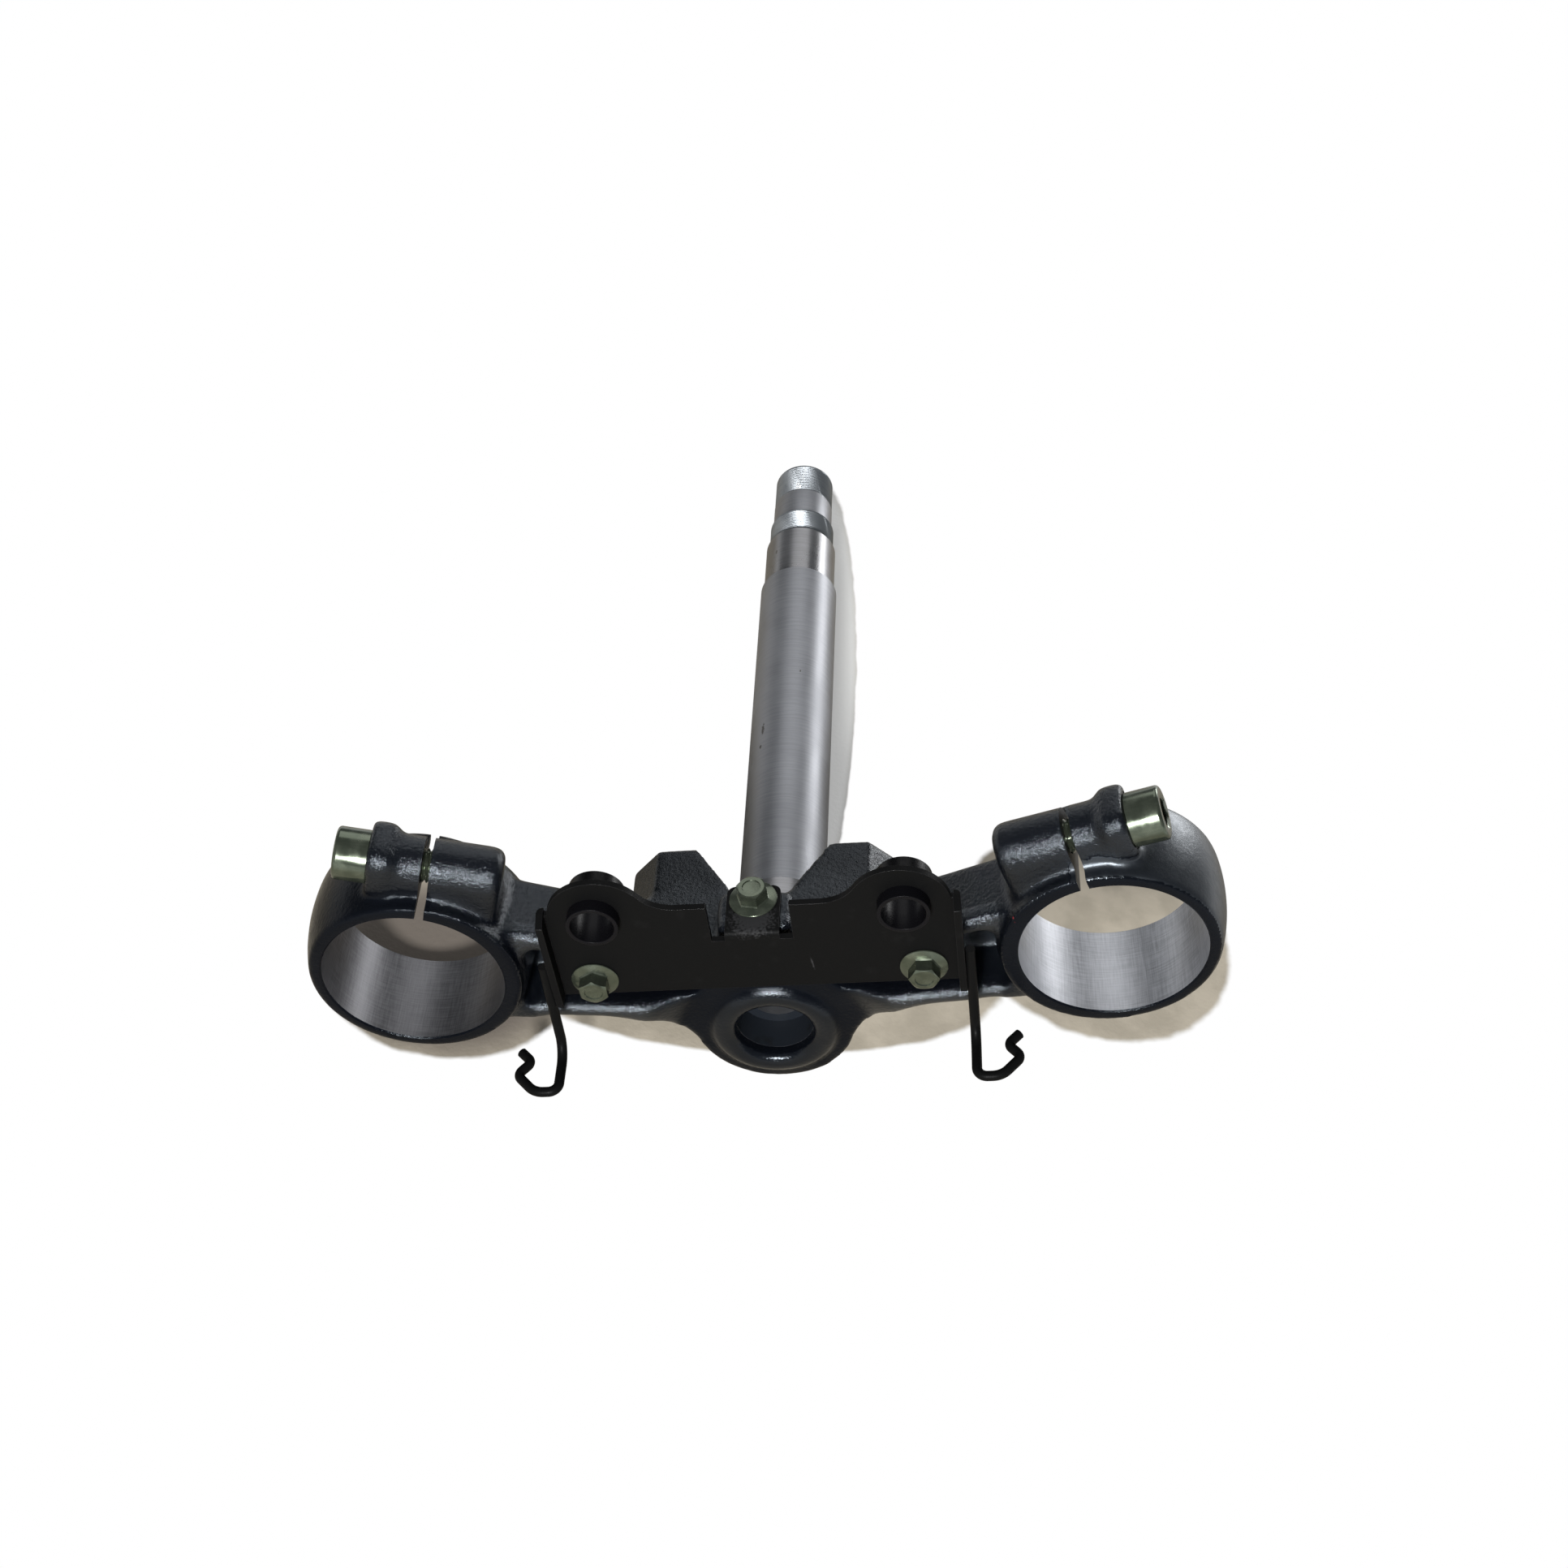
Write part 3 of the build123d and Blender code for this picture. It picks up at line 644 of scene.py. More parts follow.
@dataclass(frozen=True)
class Thread:
    """A screw thread on a cylinder round Z."""

    radius: float
    low: float
    high: float
    pitch: float
    steps: int = 8
    run_out: float = 0.8
    depth: float = 0.61
    slope: float = 1.25
    crest: float = 0.12

    def profile(self, around: int) -> Profile:
        """Radii at some angles and heights along the thread, which fades at both ends."""
        count = round((self.high - self.low) / self.pitch * self.steps) + 1
        turn = np.arange(around) / around
        points = []
        for level in np.linspace(self.low, self.high, count):
            phase = (level / self.pitch - turn) % 1.0
            groove = np.clip(np.abs(2 * phase - 1) * self.slope - self.crest, 0.0, 1.0)
            end = min(level - self.low, self.high - level) / (self.pitch * self.run_out)
            depth = self.depth * self.pitch * np.clip(end, 0.0, 1.0)
            points.append((self.radius - depth * groove, level))
        return points


@dataclass(frozen=True)
class PinchBoss:
    """Where a ring is slit and pinched together."""

    side: Side
    fork_x: float = 102.0
    fork_y: float = -41.0
    angle: float = 16.5
    reach: float = 36.4
    height: float = 13.0
    radius: float = 8.3
    slit: float = 2.6
    hole_r: float = 5.4
    thread_r: float = 5.05
    hole_end: float = 16.8
    seat: float = 16.3
    spot_r: float = 8.25
    slit_overlap: float = 0.4
    hole_overlap: float = 0.3
    saw_half: float = 60.0
    head_room: float = 12.0
    around: int = 72

    def place(self) -> Matrix:
        """The boss's own axes: Z along the bolt to its head, X to the fork."""
        turn = math.radians(self.angle)
        along = Vector((self.side * math.cos(turn), -math.sin(turn), 0))
        inward = Vector((self.side * math.sin(turn), math.cos(turn), 0))
        foot = Vector((self.side * self.fork_x, self.fork_y, self.height)) - inward * self.reach
        turned = Matrix((inward, along.cross(inward), along)).transposed().to_4x4()
        return Matrix.Translation(foot) @ turned

    def filling(self) -> MeshDraft:
        """What closes the slit and the bolt's hole while the casting is softened."""
        half, plug_r = self.slit / 2 + self.slit_overlap, self.hole_r + self.hole_overlap
        draft = MeshDraft.turned(wall(self.radius, -half, half), self.around)
        draft.turn(wall(plug_r, -self.hole_end, self.seat), self.around)
        draft.block((0, -self.radius, -half), (self.radius, self.radius, half))
        return draft.shift(self.place())

    def slit_cutter(self) -> MeshDraft:
        """What saws the slit."""
        draft = MeshDraft()
        corner = Vector((self.reach, self.saw_half, self.slit / 2))
        draft.block(-corner, corner)
        return draft.shift(self.place())

    def hole_cutter(self) -> MeshDraft:
        """What drills the hole and faces the head's seat."""
        profile = (
            *wall(self.thread_r, -self.hole_end, 0),
            *wall(self.hole_r, 0, self.seat),
            *wall(self.spot_r, self.seat, self.seat + self.head_room),
        )
        return MeshDraft.turned(profile, self.around).shift(self.place())


@dataclass
class ClampCasting:
    """The cast clamp: soft foundry edges, with the bores, slits and seats cut crisp."""

    node: str = "lower_clamp"
    bore_r: float = 27.0
    bore_edge: float = 0.5
    past: float = 1.0
    ring_h: float = 31.0
    fork_x: float = 102.0
    fork_y: float = -41.0
    ring_profile: Profile = (
        (29.9, 0), (30.7, 0.8), (32.3, 7), (33.1, 17), (32.7, 25), (32.1, 29), (30.1, 31)
    )
    land_profile: Profile = ((30.6, 0), (31.0, 0.6), (31.0, 4))
    land_shift: float = 1.1
    stem_hole_r: float = 15.6
    stem_foot: float = 12.2
    lip_r: float = 12.0
    lip_end: float = 21.0
    seat_z: float = 33.0
    stop_z: float = 29.0
    grain: float = 0.7
    passes: int = 60
    kept: float = 0.42
    around: int = 128
    sharp: float = 38.0
    arm_x: float = 70.0
    arm_z: float = 9.0
    ring_end_r: float = 35.0
    ring_end_z: float = 3.0
    soft_body: float = 0.33
    soft_arms: float = 1.0
    soft_lip: float = 0.12
    soft_rings: float = 0.09
    soft_stops: float = 0.07
    belly_r: float = 32.0
    belly_band: float = 2.5
    flank: float = 12.0
    land_width: float = 5.0
    land_z: float = 0.5
    stop_foot: float = 5.0
    coarse_stops: float = 0.76
    coarse_right: float = 0.2
    coarse_left: float = 0.55
    coarse_lands: float = 0.5
    coarse_arms: float = 1.3
    boss_radii: tuple[float, ...] = (18.5, 21.0, 26.0, 42.0)
    boss_coarse: tuple[float, ...] = (0.39, 0.55, 0.55, 1.3)
    beside: float = 0.05
    upright: float = 0.3
    square: float = 0.99
    bosses: tuple[PinchBoss, PinchBoss] = (PinchBoss(Side.LEFT), PinchBoss(Side.RIGHT))

    def fork(self, side: Side) -> Matrix:
        """The axes of one fork bore."""
        return Matrix.Translation((side * self.fork_x, self.fork_y, 0))

    def rough_shape(self, axes: ClampAxes) -> Mesh:
        """The node's shape with every machined hole closed.

        Args:
            axes: The clamp's axes.

        Returns:
            A skin of small faces of one size.
        """
        fillings = MeshDraft()
        for boss in self.bosses:
            inward = Matrix.Translation((-self.land_shift * boss.side, 0, 0))
            for profile, shift in ((self.ring_profile, Matrix()), (self.land_profile, inward)):
                disc = MeshDraft.turned(profile, self.around)
                fillings.join(disc.shift(shift @ self.fork(boss.side)))
            fillings.join(boss.filling())
        sleeve = (
            (self.lip_r, self.stem_foot),
            *wall(self.stem_hole_r, self.stem_foot, self.seat_z),
            (self.lip_r, self.seat_z),
        )
        fillings.turn(sleeve, self.around, loop=True)
        source = frame["nodes"][self.node].data
        faces = [tuple(face.vertices) for face in source.polygons]
        whole = MeshDraft([axes.local(points_of(source))], faces, [0] * len(faces))
        whole.join(fillings)
        rough = into_scene(whole.mesh("rough_casting", axes))
        modify(rough, "skin", "REMESH", mode="VOXEL", voxel_size=self.grain * MM)
        made = solved(rough)
        bpy.data.objects.remove(rough)
        return made

    def from_fork(self, points: Array) -> Array:
        """How far points on the clamp's axes lie from the nearer fork's axis."""
        return np.hypot(np.abs(points[:, 0]) - self.fork_x, points[:, 1] - self.fork_y)

    def in_arms(self, points: Array) -> Array:
        """Which points lie on the low walls between the two rings."""
        return (np.abs(points[:, 0]) < self.arm_x) & (points[:, 2] < self.arm_z)

    def softness(self, points: Array) -> Array:
        """How far each point gives way while the skin is evened out, from 0 to 1."""
        x, y, z = points.T
        soft = np.full(len(points), self.soft_body)
        soft[self.in_arms(points)] = self.soft_arms
        soft[np.hypot(x, y) < self.lip_end] = self.soft_lip
        ring_end = (self.from_fork(points) < self.ring_end_r) & (z < self.ring_end_z)
        soft[ring_end] = self.soft_rings
        soft[z > self.stop_z] = self.soft_stops
        return soft

    def soften(self, mesh: Mesh, axes: ClampAxes) -> None:
        """Evens the skin out, so that its edges and inner corners become round.

        Args:
            mesh: The skin.
            axes: The clamp's axes.
        """
        count = len(mesh.vertices)
        points = points_of(mesh)
        ends = np.empty(len(mesh.edges) * 2, int)
        mesh.edges.foreach_get("vertices", ends)
        one, other = ends.reshape(-1, 2).T
        near, far = np.concatenate((one, other)), np.concatenate((other, one))
        share = np.maximum(np.bincount(near, minlength=count), 1)[:, None]
        step = 0.5 * self.softness(axes.local(points))[:, None]
        for _ in range(self.passes):
            ways = points[far].T
            total = [np.bincount(near, weights=way, minlength=count) for way in ways]
            points = points + step * (np.stack(total, axis=-1) / share - points)
        mesh.vertices.foreach_set("co", points.ravel())
        mesh.update()

    def coarseness(self, points: Array) -> Array:
        """How pebbled the paint is at each point, as a share of the plain casting's."""
        x, y, z = points.T
        from_fork, from_stem = self.from_fork(points), np.hypot(x, y)
        heights = (self.stop_z - self.stop_foot, self.stop_z)
        coarse = np.interp(z, heights, (1.0, self.coarse_stops))
        round_wall = np.abs(from_fork - self.belly_r) < self.belly_band
        coarse[round_wall & (x > self.fork_x - self.flank)] = self.coarse_right
        coarse[round_wall & (x < self.flank - self.fork_x)] = self.coarse_left
        land = (from_fork < self.bore_r + self.land_width) & (z < self.land_z)
        coarse[land] = self.coarse_lands
        coarse[self.in_arms(points) & (from_stem > self.lip_end)] = self.coarse_arms
        boss = np.interp(from_stem, self.boss_radii, self.boss_coarse)
        return np.where(z < self.stem_foot, np.minimum(coarse, boss), coarse)

    def cutters(self) -> list[MeshDraft]:
        """The cuts after casting, in order."""
        bores, slits, holes = MeshDraft(), MeshDraft(), MeshDraft()
        wide = self.bore_r + self.bore_edge + self.past
        profile = (
            (wide, -self.past),
            *wall(self.bore_r, self.bore_edge, self.ring_h - self.bore_edge),
            (wide, self.ring_h + self.past),
        )
        for boss in self.bosses:
            bore = MeshDraft.turned(profile, self.around)
            bores.join(bore.shift(self.fork(boss.side)))
            slits.join(boss.slit_cutter())
            holes.join(boss.hole_cutter())
        return [bores, holes, slits]

    def finish_numbers(self, mesh: Mesh, axes: ClampAxes) -> Array:
        """The finish of each face.

        Args:
            mesh: The cut casting.
            axes: The clamp's axes.

        Returns:
            Finish numbers, from where the faces lie and how they face.
        """
        middles, normals = np.empty((2, len(mesh.polygons) * 3))
        mesh.polygons.foreach_get("center", middles)
        mesh.polygons.foreach_get("normal", normals)
        middles = axes.local(middles.reshape(-1, 3))
        normals = normals.reshape(-1, 3) @ np.array(axes.to_frame.to_3x3().normalized())
        finishes = np.full(len(mesh.polygons), CastFinish.PAINT, int)
        bore = self.from_fork(middles) < self.bore_r + 2 * self.beside
        bore &= np.abs(normals[:, 2]) < self.upright
        # The bores are split by side only so that the left one can carry painted shade and the
        # right one painted light.
        finishes[bore & (middles[:, 0] < 0)] = CastFinish.LEFT_BORE
        finishes[bore & (middles[:, 0] > 0)] = CastFinish.RIGHT_BORE
        for boss in self.bosses:
            there = boss.place().inverted()
            own = carry(middles, there)
            facing = np.abs(normals @ np.array(there[2][:3])) > self.square
            sawn = np.abs(np.abs(own[:, 2]) - boss.slit / 2) < self.beside
            seat = np.abs(own[:, 2] - boss.seat) < self.beside
            spot = seat & (np.hypot(own[:, 0], own[:, 1]) < boss.spot_r)
            finishes[facing & (sawn | spot)] = CastFinish.CUT
        return finishes

    def build(self, axes: ClampAxes) -> None:
        """Makes the casting and dresses it.

        Args:
            axes: The clamp's axes.
        """
        skin = self.rough_shape(axes)
        self.soften(skin, axes)
        casting = into_scene(skin)
        modify(casting, "thin", "DECIMATE", ratio=self.kept)
        tools = [into_scene(cut.mesh("cutter", axes)) for cut in self.cutters()]
        for tool in tools:
            modify(casting, "cut", "BOOLEAN", solver="MANIFOLD", object=tool)
        made = solved(casting)
        for tool in (*tools, casting):
            bpy.data.objects.remove(tool)
        made.name = "cast_clamp"
        made.polygons.foreach_set("material_index", self.finish_numbers(made, axes))
        own = axes.local(points_of(made))
        remember(made, own)
        coarse = made.attributes.new(COARSE, "FLOAT", "POINT")
        coarse.data.foreach_set("value", self.coarseness(own).astype(np.float32))
        finishes = (
            CastPaint().material("cast_paint"),
            # Darker honed wall for the left bore as painted shade; the default, lighter one for the
            # right bore as painted light.
            HonedBore((0.1, 0.1, 0.107), (0.19, 0.19, 0.2), 0.42).material("shaded_left_bore"),
            HonedBore().material("lit_honed_bore"),
            HonedBore((0.03, 0.03, 0.033), (0.09, 0.09, 0.095)).material("sawn_face"),
        )
        add_piece(made, self.sharp, self.node, finishes)


@dataclass
class SteeringStem:
    """The turned stem with its seats and screw threads."""

    node: str = "steering_stem"
    foot_z: float = 12.2
    lip_r: float = 11.8
    root_r: float = 15.5
    seat_z: float = 33.0
    lower_seat_r: float = 15.0
    lower_seat_top: float = 60.0
    shank_r: float = 14.0
    shank_top: float = 215.5
    upper_seat_r: float = 13.0
    upper_seat_top: float = 240.0
    adjuster_r: float = 12.0
    adjuster_top: float = 252.7
    neck_r: float = 11.1
    neck_top: float = 265.3
    nut_r: float = 11.0
    end_z: float = 281.99
    bore_r: float = 8.5
    foot_bore: float = 22.4
    edge: float = 1.0
    step: float = 0.5
    pitch: float = 1.0
    around: int = 128
    sharp: float = 30.0

    def build(self, axes: ClampAxes) -> None:
        """Makes the stem and dresses it.

        Args:
            axes: The clamp's axes.
        """
        ground, seat, cut, inside = StemFinish
        low, high = self.upper_seat_top + self.step, self.adjuster_top - self.step
        adjuster = Thread(self.adjuster_r, low, high, self.pitch)
        nut = Thread(self.nut_r, self.neck_top + self.step, self.end_z - self.edge, self.pitch)
        sections = (
            (((self.lip_r, self.foot_z), *wall(self.root_r, self.foot_z, self.seat_z)), ground),
            (wall(self.lower_seat_r, self.seat_z, self.lower_seat_top - self.edge), seat),
            (wall(self.shank_r, self.lower_seat_top, self.shank_top - self.step), ground),
            (wall(self.upper_seat_r, self.shank_top, self.upper_seat_top - self.step), seat),
            (adjuster.profile(self.around), cut),
            (wall(self.neck_r, self.adjuster_top, self.neck_top), ground),
            (nut.profile(self.around), cut),
            (((self.nut_r - self.edge, self.end_z), (self.bore_r, self.end_z)), ground),
            (((self.bore_r, self.foot_bore), (self.lip_r, self.foot_bore)), inside),
        )
        profile, bands = [], []
        for points, finish in sections:
            profile += points
            bands += [int(finish)] * len(points)
        draft = MeshDraft()
        draft.turn(profile, self.around, bands, loop=True)
        made = draft.mesh("turned_stem", axes)
        finishes = (
            TurnedSteel().material("ground_steel"),
            TurnedSteel((0.2, 0.2, 0.206), (0.26, 0.26, 0.27), rough=0.3).material("ground_seat"),
            TurnedSteel((0.26, 0.28, 0.3), (0.34, 0.36, 0.38), rough=0.42).material("thread_steel"),
            FlatPaint((0.012, 0.015, 0.02), rough=0.4, gleam=0.3).material("stem_inside"),
        )
        add_piece(made, self.sharp, self.node, finishes)


@dataclass
class Bolt:
    """A plated bolt that is turned round its own Z, with its head on top."""

    name: str
    place: Matrix
    node: str = ""
    around: int = 72
    sharp: float = 32.0

    def profile(self) -> Profile:
        """Radii and heights from the tip to the middle of the head."""
        raise NotImplementedError

    def build(self, axes: ClampAxes, finish: Material) -> None:
        """Makes the bolt and dresses it.

        Args:
            axes: The clamp's axes.
            finish: Its plating.
        """
        draft = MeshDraft.turned(self.profile(), self.around)
        made = draft.mesh(self.name, axes, self.place)
        add_piece(made, self.sharp, self.node, (finish,))


@dataclass
class PinchBolt(Bolt):
    """A socket-head bolt across a slit, on the axes of its boss."""

    node: str = "pinch_bolts"
    seat: float = 16.3
    radius: float = 5.0
    length: float = 32.0
    point: float = 0.8
    head_r: float = 7.71
    head_h: float = 10.0
    head_edge: float = 1.1
    socket: float = 8.0
    socket_mouth: float = 4.95
    socket_depth: float = 5.5
    drill_depth: float = 6.6
    drill_gap: float = 0.15
    drill_tip: float = 0.3
    core_r: float = 0.5
    foot_edge: float = 0.4
    mouth_edge: float = 0.45
    plain: float = 4.0
    pitch: float = 1.25

    def profile(self) -> Profile:
        """Radii and heights from the tip to the bottom of the socket."""
        tip, top = self.seat - self.length, self.seat + self.head_h
        rim, floor = self.head_r - self.head_edge, top - self.socket_depth
        flats = hexagon(self.socket, self.around)
        thread = Thread(self.radius, tip + self.point, self.seat - self.plain, self.pitch)
        return [
            (self.core_r, tip), (self.radius - self.point, tip),
            *thread.profile(self.around),
            (self.radius, self.seat), (self.head_r - self.foot_edge, self.seat),
            (self.head_r, self.seat + self.foot_edge),
            *arc((rim, top - self.head_edge), self.head_edge, 0, 90, 6),
            (self.socket_mouth, top), (flats, top - self.mouth_edge), (flats, floor),
            (self.socket / 2 - self.drill_gap, floor), (self.drill_tip, top - self.drill_depth),
        ]


@dataclass
class FlangeBolt(Bolt):
    """A small hexagon bolt with a flange, on the seat under it."""

    node: str = "bracket_bolts"
    sharp: float = 28.0
    radius: float = 3.0
    length: float = 14.0
    flats: float = 8.0
    head_h: float = 5.6
    flange_r: float = 7.0
    flange_edge: float = 0.7
    flange_h: float = 1.3
    crown_r: float = 3.75
    crown_slope: float = 0.55
    dish_r: float = 2.5
    dish_depth: float = 0.35
    dish_edge: float = 0.2
    dish_fall: float = 0.1
    core_r: float = 0.4
    foot_edge: float = 0.2
    fillet: float = 0.35

    def profile(self) -> Profile:
        """Radii and heights from the tip to the bottom of the head's dish."""
        flats = hexagon(self.flats, self.around)
        dish, edge = self.head_h - self.dish_depth, self.flange_edge / 2
        return [
            (self.core_r, -self.length),
            *wall(self.radius, -self.length, 0),
            (self.flange_r - self.foot_edge, 0),
            *arc((self.flange_r - edge, edge), edge, -45, 80, 4),
            (flats + self.fillet, self.flange_h), (flats, self.flange_h + self.fillet),
            (flats, self.head_h - (flats - self.crown_r) * self.crown_slope),
            (self.crown_r, self.head_h), (self.dish_r + self.dish_edge, self.head_h),
            (self.dish_r, dish), (self.core_r, dish - self.dish_fall),
        ]


@dataclass
class BracketSet:
    """The sheet bracket with its collars and wire guides, kept as packed, with broken edges."""

    edges: tuple[tuple[str, float], ...] = (
        ("guide_bracket", 0.45),
        ("left_collar", 0.15),
        ("right_collar", 0.15),
        ("left_hose_guide", 0.35),
        ("right_hose_guide", 0.35),
    )
    weld: float = 0.002
    bend: float = 40.0
    scratches_and_highlight: tuple[Spot, ...] = (
        Spot((15.1, -127.2, 70.6), (0.45, 1.0, 5.2), (0, -25, 0)),
        # A broad pale rub on the tab: partly real wear, partly a painted highlight on the tab's
        # bend.
        Spot((-4.4, -121.5, 78.9), (11.0, 11.0, 5.0), (0, -17.7, 0)),
    )

    def build(self) -> None:
        """Rounds the edges of each node and dresses it."""
        paint = FlatPaint(scratches_and_highlight=self.scratches_and_highlight).material("bracket_paint")
        wire_paint = FlatPaint(rough=0.4).material("wire_paint")
        collar = FlatPaint((0.004, 0.0039, 0.005), rough=0.32, gleam=0.1)
        edge = FlatPaint((0.02, 0.02, 0.022), rough=0.35, gleam=0.5)
        collar_paint = collar.material("collar_paint")
        edge_paint = edge.material("rubbed_edge")
        for name, width in self.edges:
            node = frame["nodes"][name]
            modify(node, "weld", "WELD", merge_threshold=self.weld * MM)
            bevel = modify(node, "broken_edges", "BEVEL", width=width * MM, segments=3)
            bevel.limit_method = "ANGLE"
            bevel.angle_limit = math.radians(self.bend)
            modify(node, "even_faces", "WEIGHTED_NORMAL", weight=100)
            node.data.materials.clear()
            if "hose" in name:
                node.data.materials.append(wire_paint)
            elif "collar" in name:
                node.data.materials.append(collar_paint)
            else:
                node.data.materials.append(paint)
                node.data.materials.append(edge_paint)
                bevel.material = 1
            LOG.info("%s: dressed", name)


@dataclass(frozen=True)
class Lamp:
    """A soft square light that faces the clamp, in metres and watts."""

    name: str
    place: Point
    size: float
    power: float
    aim: Point = (0.0, -0.03, 0.04)

    def hang(self) -> None:
        """Puts the light up."""
        light = bpy.data.lights.new(self.name, "AREA")
        light.size = self.size
        light.energy = self.power
        lamp = into_scene(light)
        lamp.location = self.place
        towards = Vector(self.aim) - Vector(self.place)
        lamp.rotation_euler = towards.to_track_quat("-Z", "Y").to_euler()


@dataclass
class Studio:
    """The pale floor, the soft lights and the camera."""

    eye: Point = (76.89, -513.14, -404.79)
    rightward: Point = (0.993013, 0.110954, 0.040175)
    downward: Point = (-0.050607, 0.707984, -0.704413)
    lens: float = 49.65
    floor_half: float = 4.0
    near_clip: float = 0.01
    shift: float = -0.001
    beige: Colour = (0.5, 0.445, 0.355)
    dirt: Colour = (0.4, 0.355, 0.28)
    # Pale floor colour for the strip beside the stem: painted light where the stem's shadow falls.
    pale: Colour = (0.8, 0.8, 0.77)
    # Darker floor colour under the left ring: a painted shadow.
    painted_shadow: Colour = (0.155, 0.132, 0.11)
    air: Colour = (0.92, 0.96, 1.0)
    dim: float = 0.16
    horizon: Span = (0.0, 0.06)
    patch_edge: Span = (1.03, 1.09)
    painted_light_strip_edge: Span = (0.9, 1.2)
    painted_shadow_edge: Span = (0.7, 1.2)
    mirror_far: Span = (3.5, 9.0)
    # Share of white glow that the strip beside the stem shows to the eye: painted light.
    painted_light_strip_glow: float = 0.25
    lamps: tuple[Lamp, ...] = (
        Lamp("window", (0.83, 0.95, 0.35), 0.4, 5.0),
        Lamp("skylight", (-0.15, 0.95, 0.95), 0.85, 3.4),
        Lamp("front", (-0.22, -1.1, 0.63), 0.2, 20.0),
    )
    patches: tuple[Spot, ...] = (
        Spot((-90, -97, 0), (40, 34, 1)),
        Spot((12, -84, 0), (78, 27, 1), (0, 0, 9)),
        Spot((126, -40, 0), (47, 44, 1)),
        Spot((20, 52, 0), (18, 118, 1)),
    )

    def camera(self, axes: ClampAxes) -> None:
        """Sets the camera up in front of the clamp and above it."""
        turn = axes.to_frame.to_3x3().normalized()
        right = (turn @ Vector(self.rightward)).normalized()
        up = -(turn @ Vector(self.downward)).normalized()
        back = right.cross(up).normalized()
        up = back.cross(right)
        lens = bpy.data.cameras.new("camera")
        lens.lens = self.lens
        lens.clip_start = self.near_clip
        lens.shift_y = self.shift
        camera = into_scene(lens)
        spot = Matrix.Translation(axes.to_frame @ Vector(self.eye))
        camera.matrix_world = spot @ Matrix((right, up, back)).transposed().to_4x4()
        bpy.context.scene.camera = camera

    def floor(self) -> None:
        """Lays the floor: warm under the clamp, with a painted shadow under the left ring and a
        lighter strip of painted light beside the stem, and white to the eye further out.
        """
        half = self.floor_half
        mesh = bpy.data.meshes.new("floor")
        corners = [(-half, -half, 0), (half, -half, 0), (half, half, 0), (-half, half, 0)]
        mesh.from_pydata(corners, [], [(0, 1, 2, 3)])
        floor = into_scene(mesh)
        shader = Shader("floor")
        here = shader.anywhere()
        near = shader.nearest(here, self.patches)
        ragged = shader.math("MULTIPLY", shader.noise(12.0, 3.0), 0.08)
        far = shader.ramp(shader.math("ADD", near, ragged), self.patch_edge)
        # The strip beside the stem is lightened by colour and glow as painted light.
        painted_light_strip = shader.ramp(shader.nearest(here, self.patches[-1:]), self.painted_light_strip_edge, 1.0, 0.0)
        # Darkens the floor under the left ring as a painted shadow.
        painted_shadow_mask = shader.ramp(shader.nearest(here, self.patches[:1]), self.painted_shadow_edge, 1.0, 0.0)
        clouds = shader.ramp(shader.noise(14.0, 6.0), (0.35, 0.65))
        stone = shader.blend(clouds, self.dirt, self.beige)
        shader.dress(
            Base_Color=shader.blend(painted_light_strip, shader.blend(painted_shadow_mask, stone, self.painted_shadow), self.pale),
            Roughness=0.8,
            Normal=shader.bump(shader.noise(1.6, 6.0), 0.15),
        )
        glow = shader.node("ShaderNodeEmission", inputs={"Color": (1, 1, 1, 1), "Strength": 1.0})
        white = shader.math("MAXIMUM", far, shader.math("MULTIPLY", painted_light_strip, self.painted_light_strip_glow))
        rays = shader.node("ShaderNodeLightPath").outputs
        mirrored = shader.math("MAXIMUM", rays["Is Glossy Ray"], rays["Is Transmission Ray"])
        mirrored = shader.math("MULTIPLY", mirrored, shader.ramp(near, self.mirror_far))
        direct = shader.math("MULTIPLY", rays["Is Camera Ray"], white)
        layers = {1: shader.surface.outputs["BSDF"], 2: glow.outputs["Emission"]}
        layers[0] = shader.math("MAXIMUM", direct, mirrored)
        mixed = shader.node("ShaderNodeMixShader", inputs=layers)
        shader.fill(shader.output, {"Surface": mixed.outputs["Shader"]})
        mesh.materials.append(shader.material)

    def sky(self) -> None:
        """Fills the room with even light: white at the floor's far end and dim overhead."""
        world = bpy.data.worlds.new("room")
        room = NodeTree(world)
        where = room.node("ShaderNodeTexCoord").outputs["Generated"]
        height = room.node("ShaderNodeSeparateXYZ", inputs={"Vector": where}).outputs["Z"]
        strength = room.ramp(height, self.horizon, 1.0, self.dim)
        light = {"Color": (*self.air, 1.0), "Strength": strength}
        glow = room.node("ShaderNodeBackground", inputs=light).outputs["Background"]
        room.node("ShaderNodeOutputWorld", inputs={"Surface": glow})
        bpy.context.scene.world = world

    def build(self, axes: ClampAxes) -> None:
        """Makes the whole studio."""
        self.camera(axes)
        self.floor()
        for lamp in self.lamps:
            lamp.hang()
        self.sky()
        bpy.context.scene.view_settings.view_transform = "Standard"


def bracket_bolts() -> list[FlangeBolt]:
    """The bracket's three bolts, with the seats under their heads."""
    down = Matrix(((1, 0, 0), (0, -1, 0), (0, 0, -1))).to_4x4()
    forward = Matrix(((1, 0, 0), (0, 0, -1), (0, 1, 0))).to_4x4()
    seats = (
        ("bracket_bolt_left", (-48.0, -38.3, 0), down, 0.0),
        ("bracket_bolt_right", (48.0, -38.3, 0), down, 28.0),
        ("bracket_bolt_tab", (0, -55.6, 12.6), forward, 18.0),
    )
    bolts = []
    for name, foot, facing, turn in seats:
        turned = Matrix.Rotation(math.radians(turn), 4, "Z")
        bolts.append(FlangeBolt(name, Matrix.Translation(foot) @ facing @ turned))
    return bolts


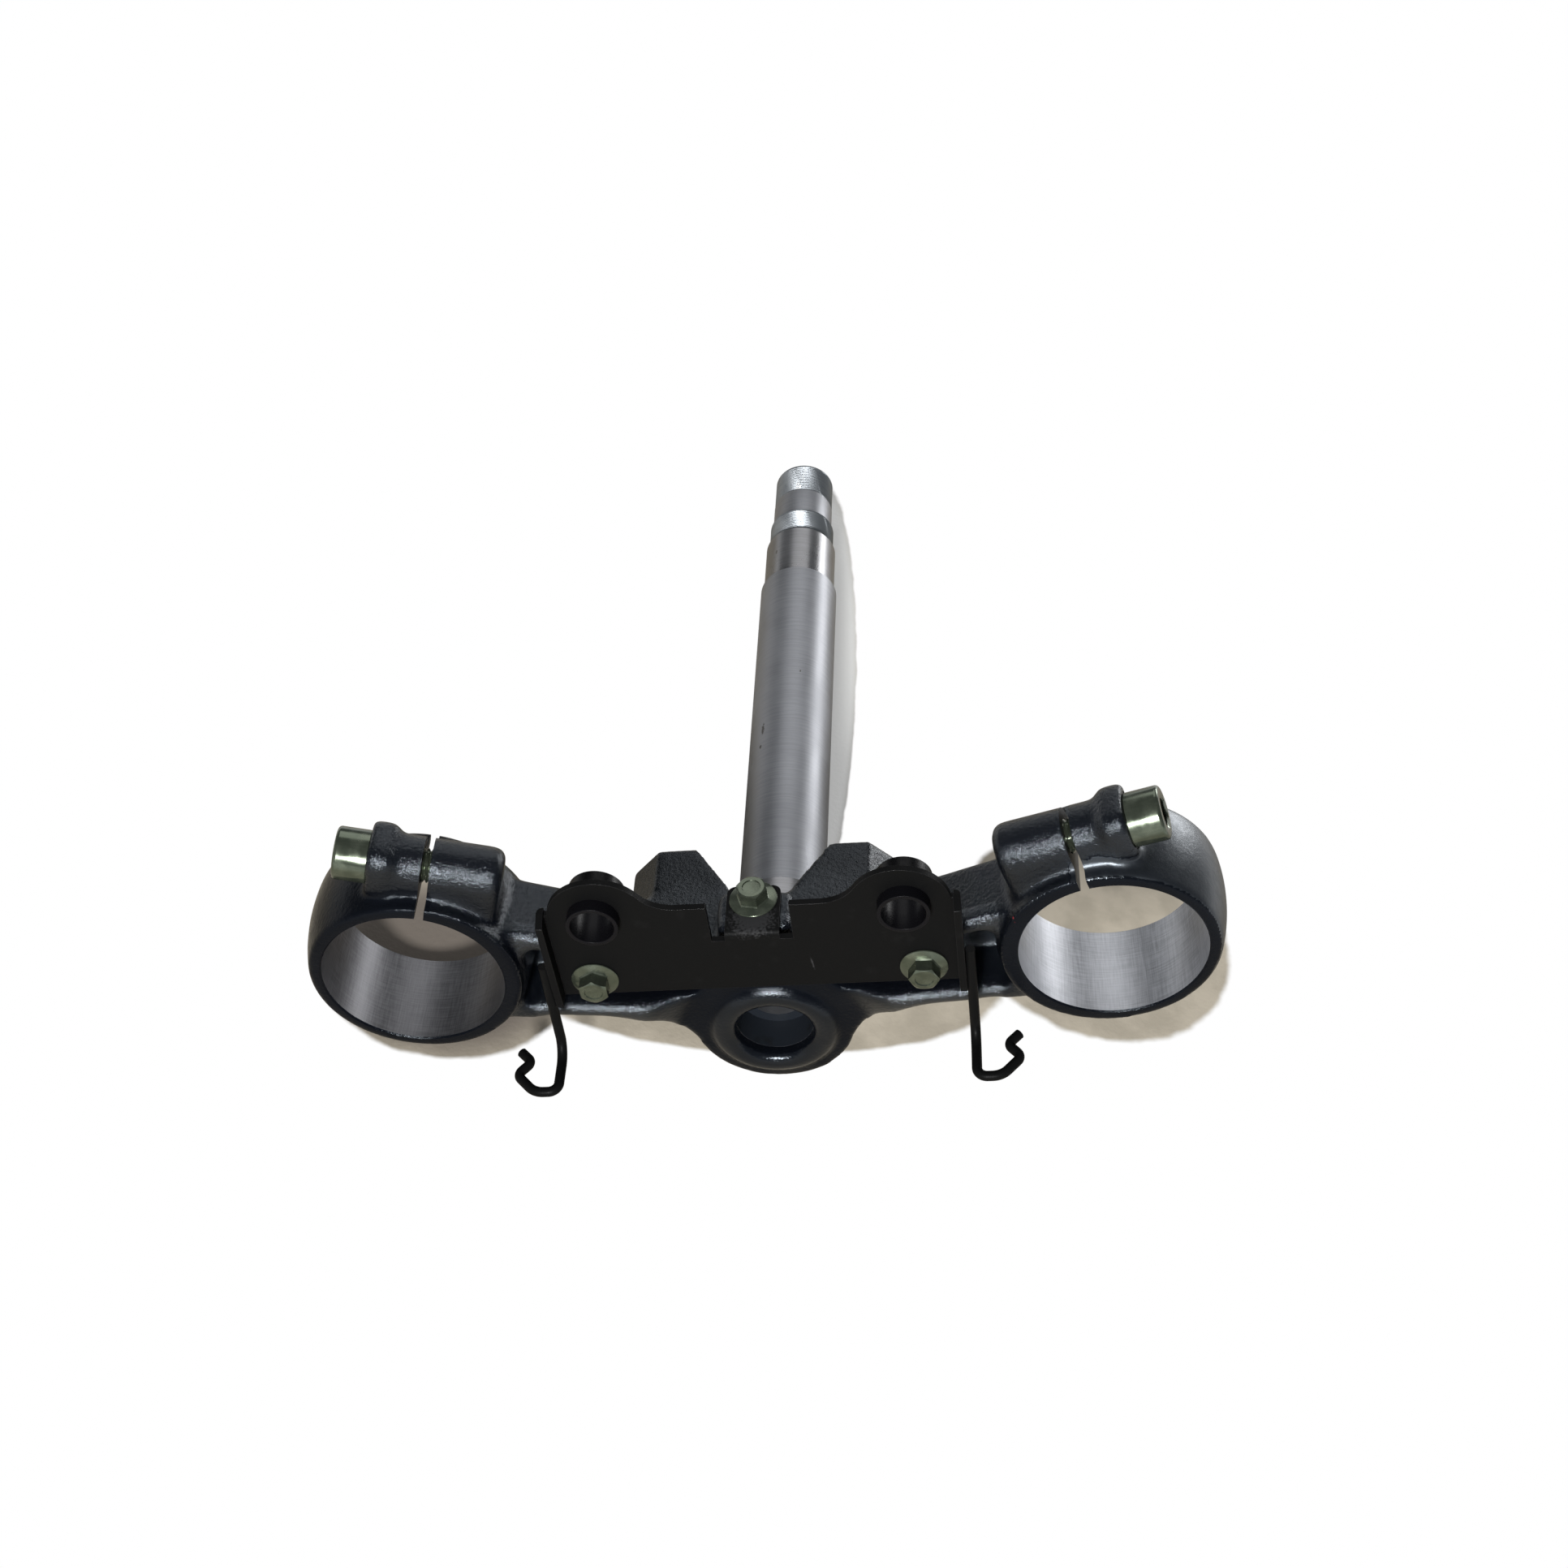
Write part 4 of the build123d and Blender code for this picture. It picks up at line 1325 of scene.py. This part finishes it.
def main() -> None:
    """Builds the pieces in order, then the studio."""
    logging.basicConfig(level=logging.INFO, format="%(message)s")
    axes = ClampAxes.from_record(frame["record"])
    casting = ClampCasting()
    casting.build(axes)
    SteeringStem().build(axes)
    zinc = OliveZinc().material("olive_zinc")
    for boss in casting.bosses:
        name = f"pinch_bolt_{boss.side.name.lower()}"
        PinchBolt(name, boss.place(), seat=boss.seat).build(axes, zinc)
    for bolt in bracket_bolts():
        bolt.build(axes, zinc)
    BracketSet().build()
    Studio().build(axes)


if __name__ == "__main__":
    main()
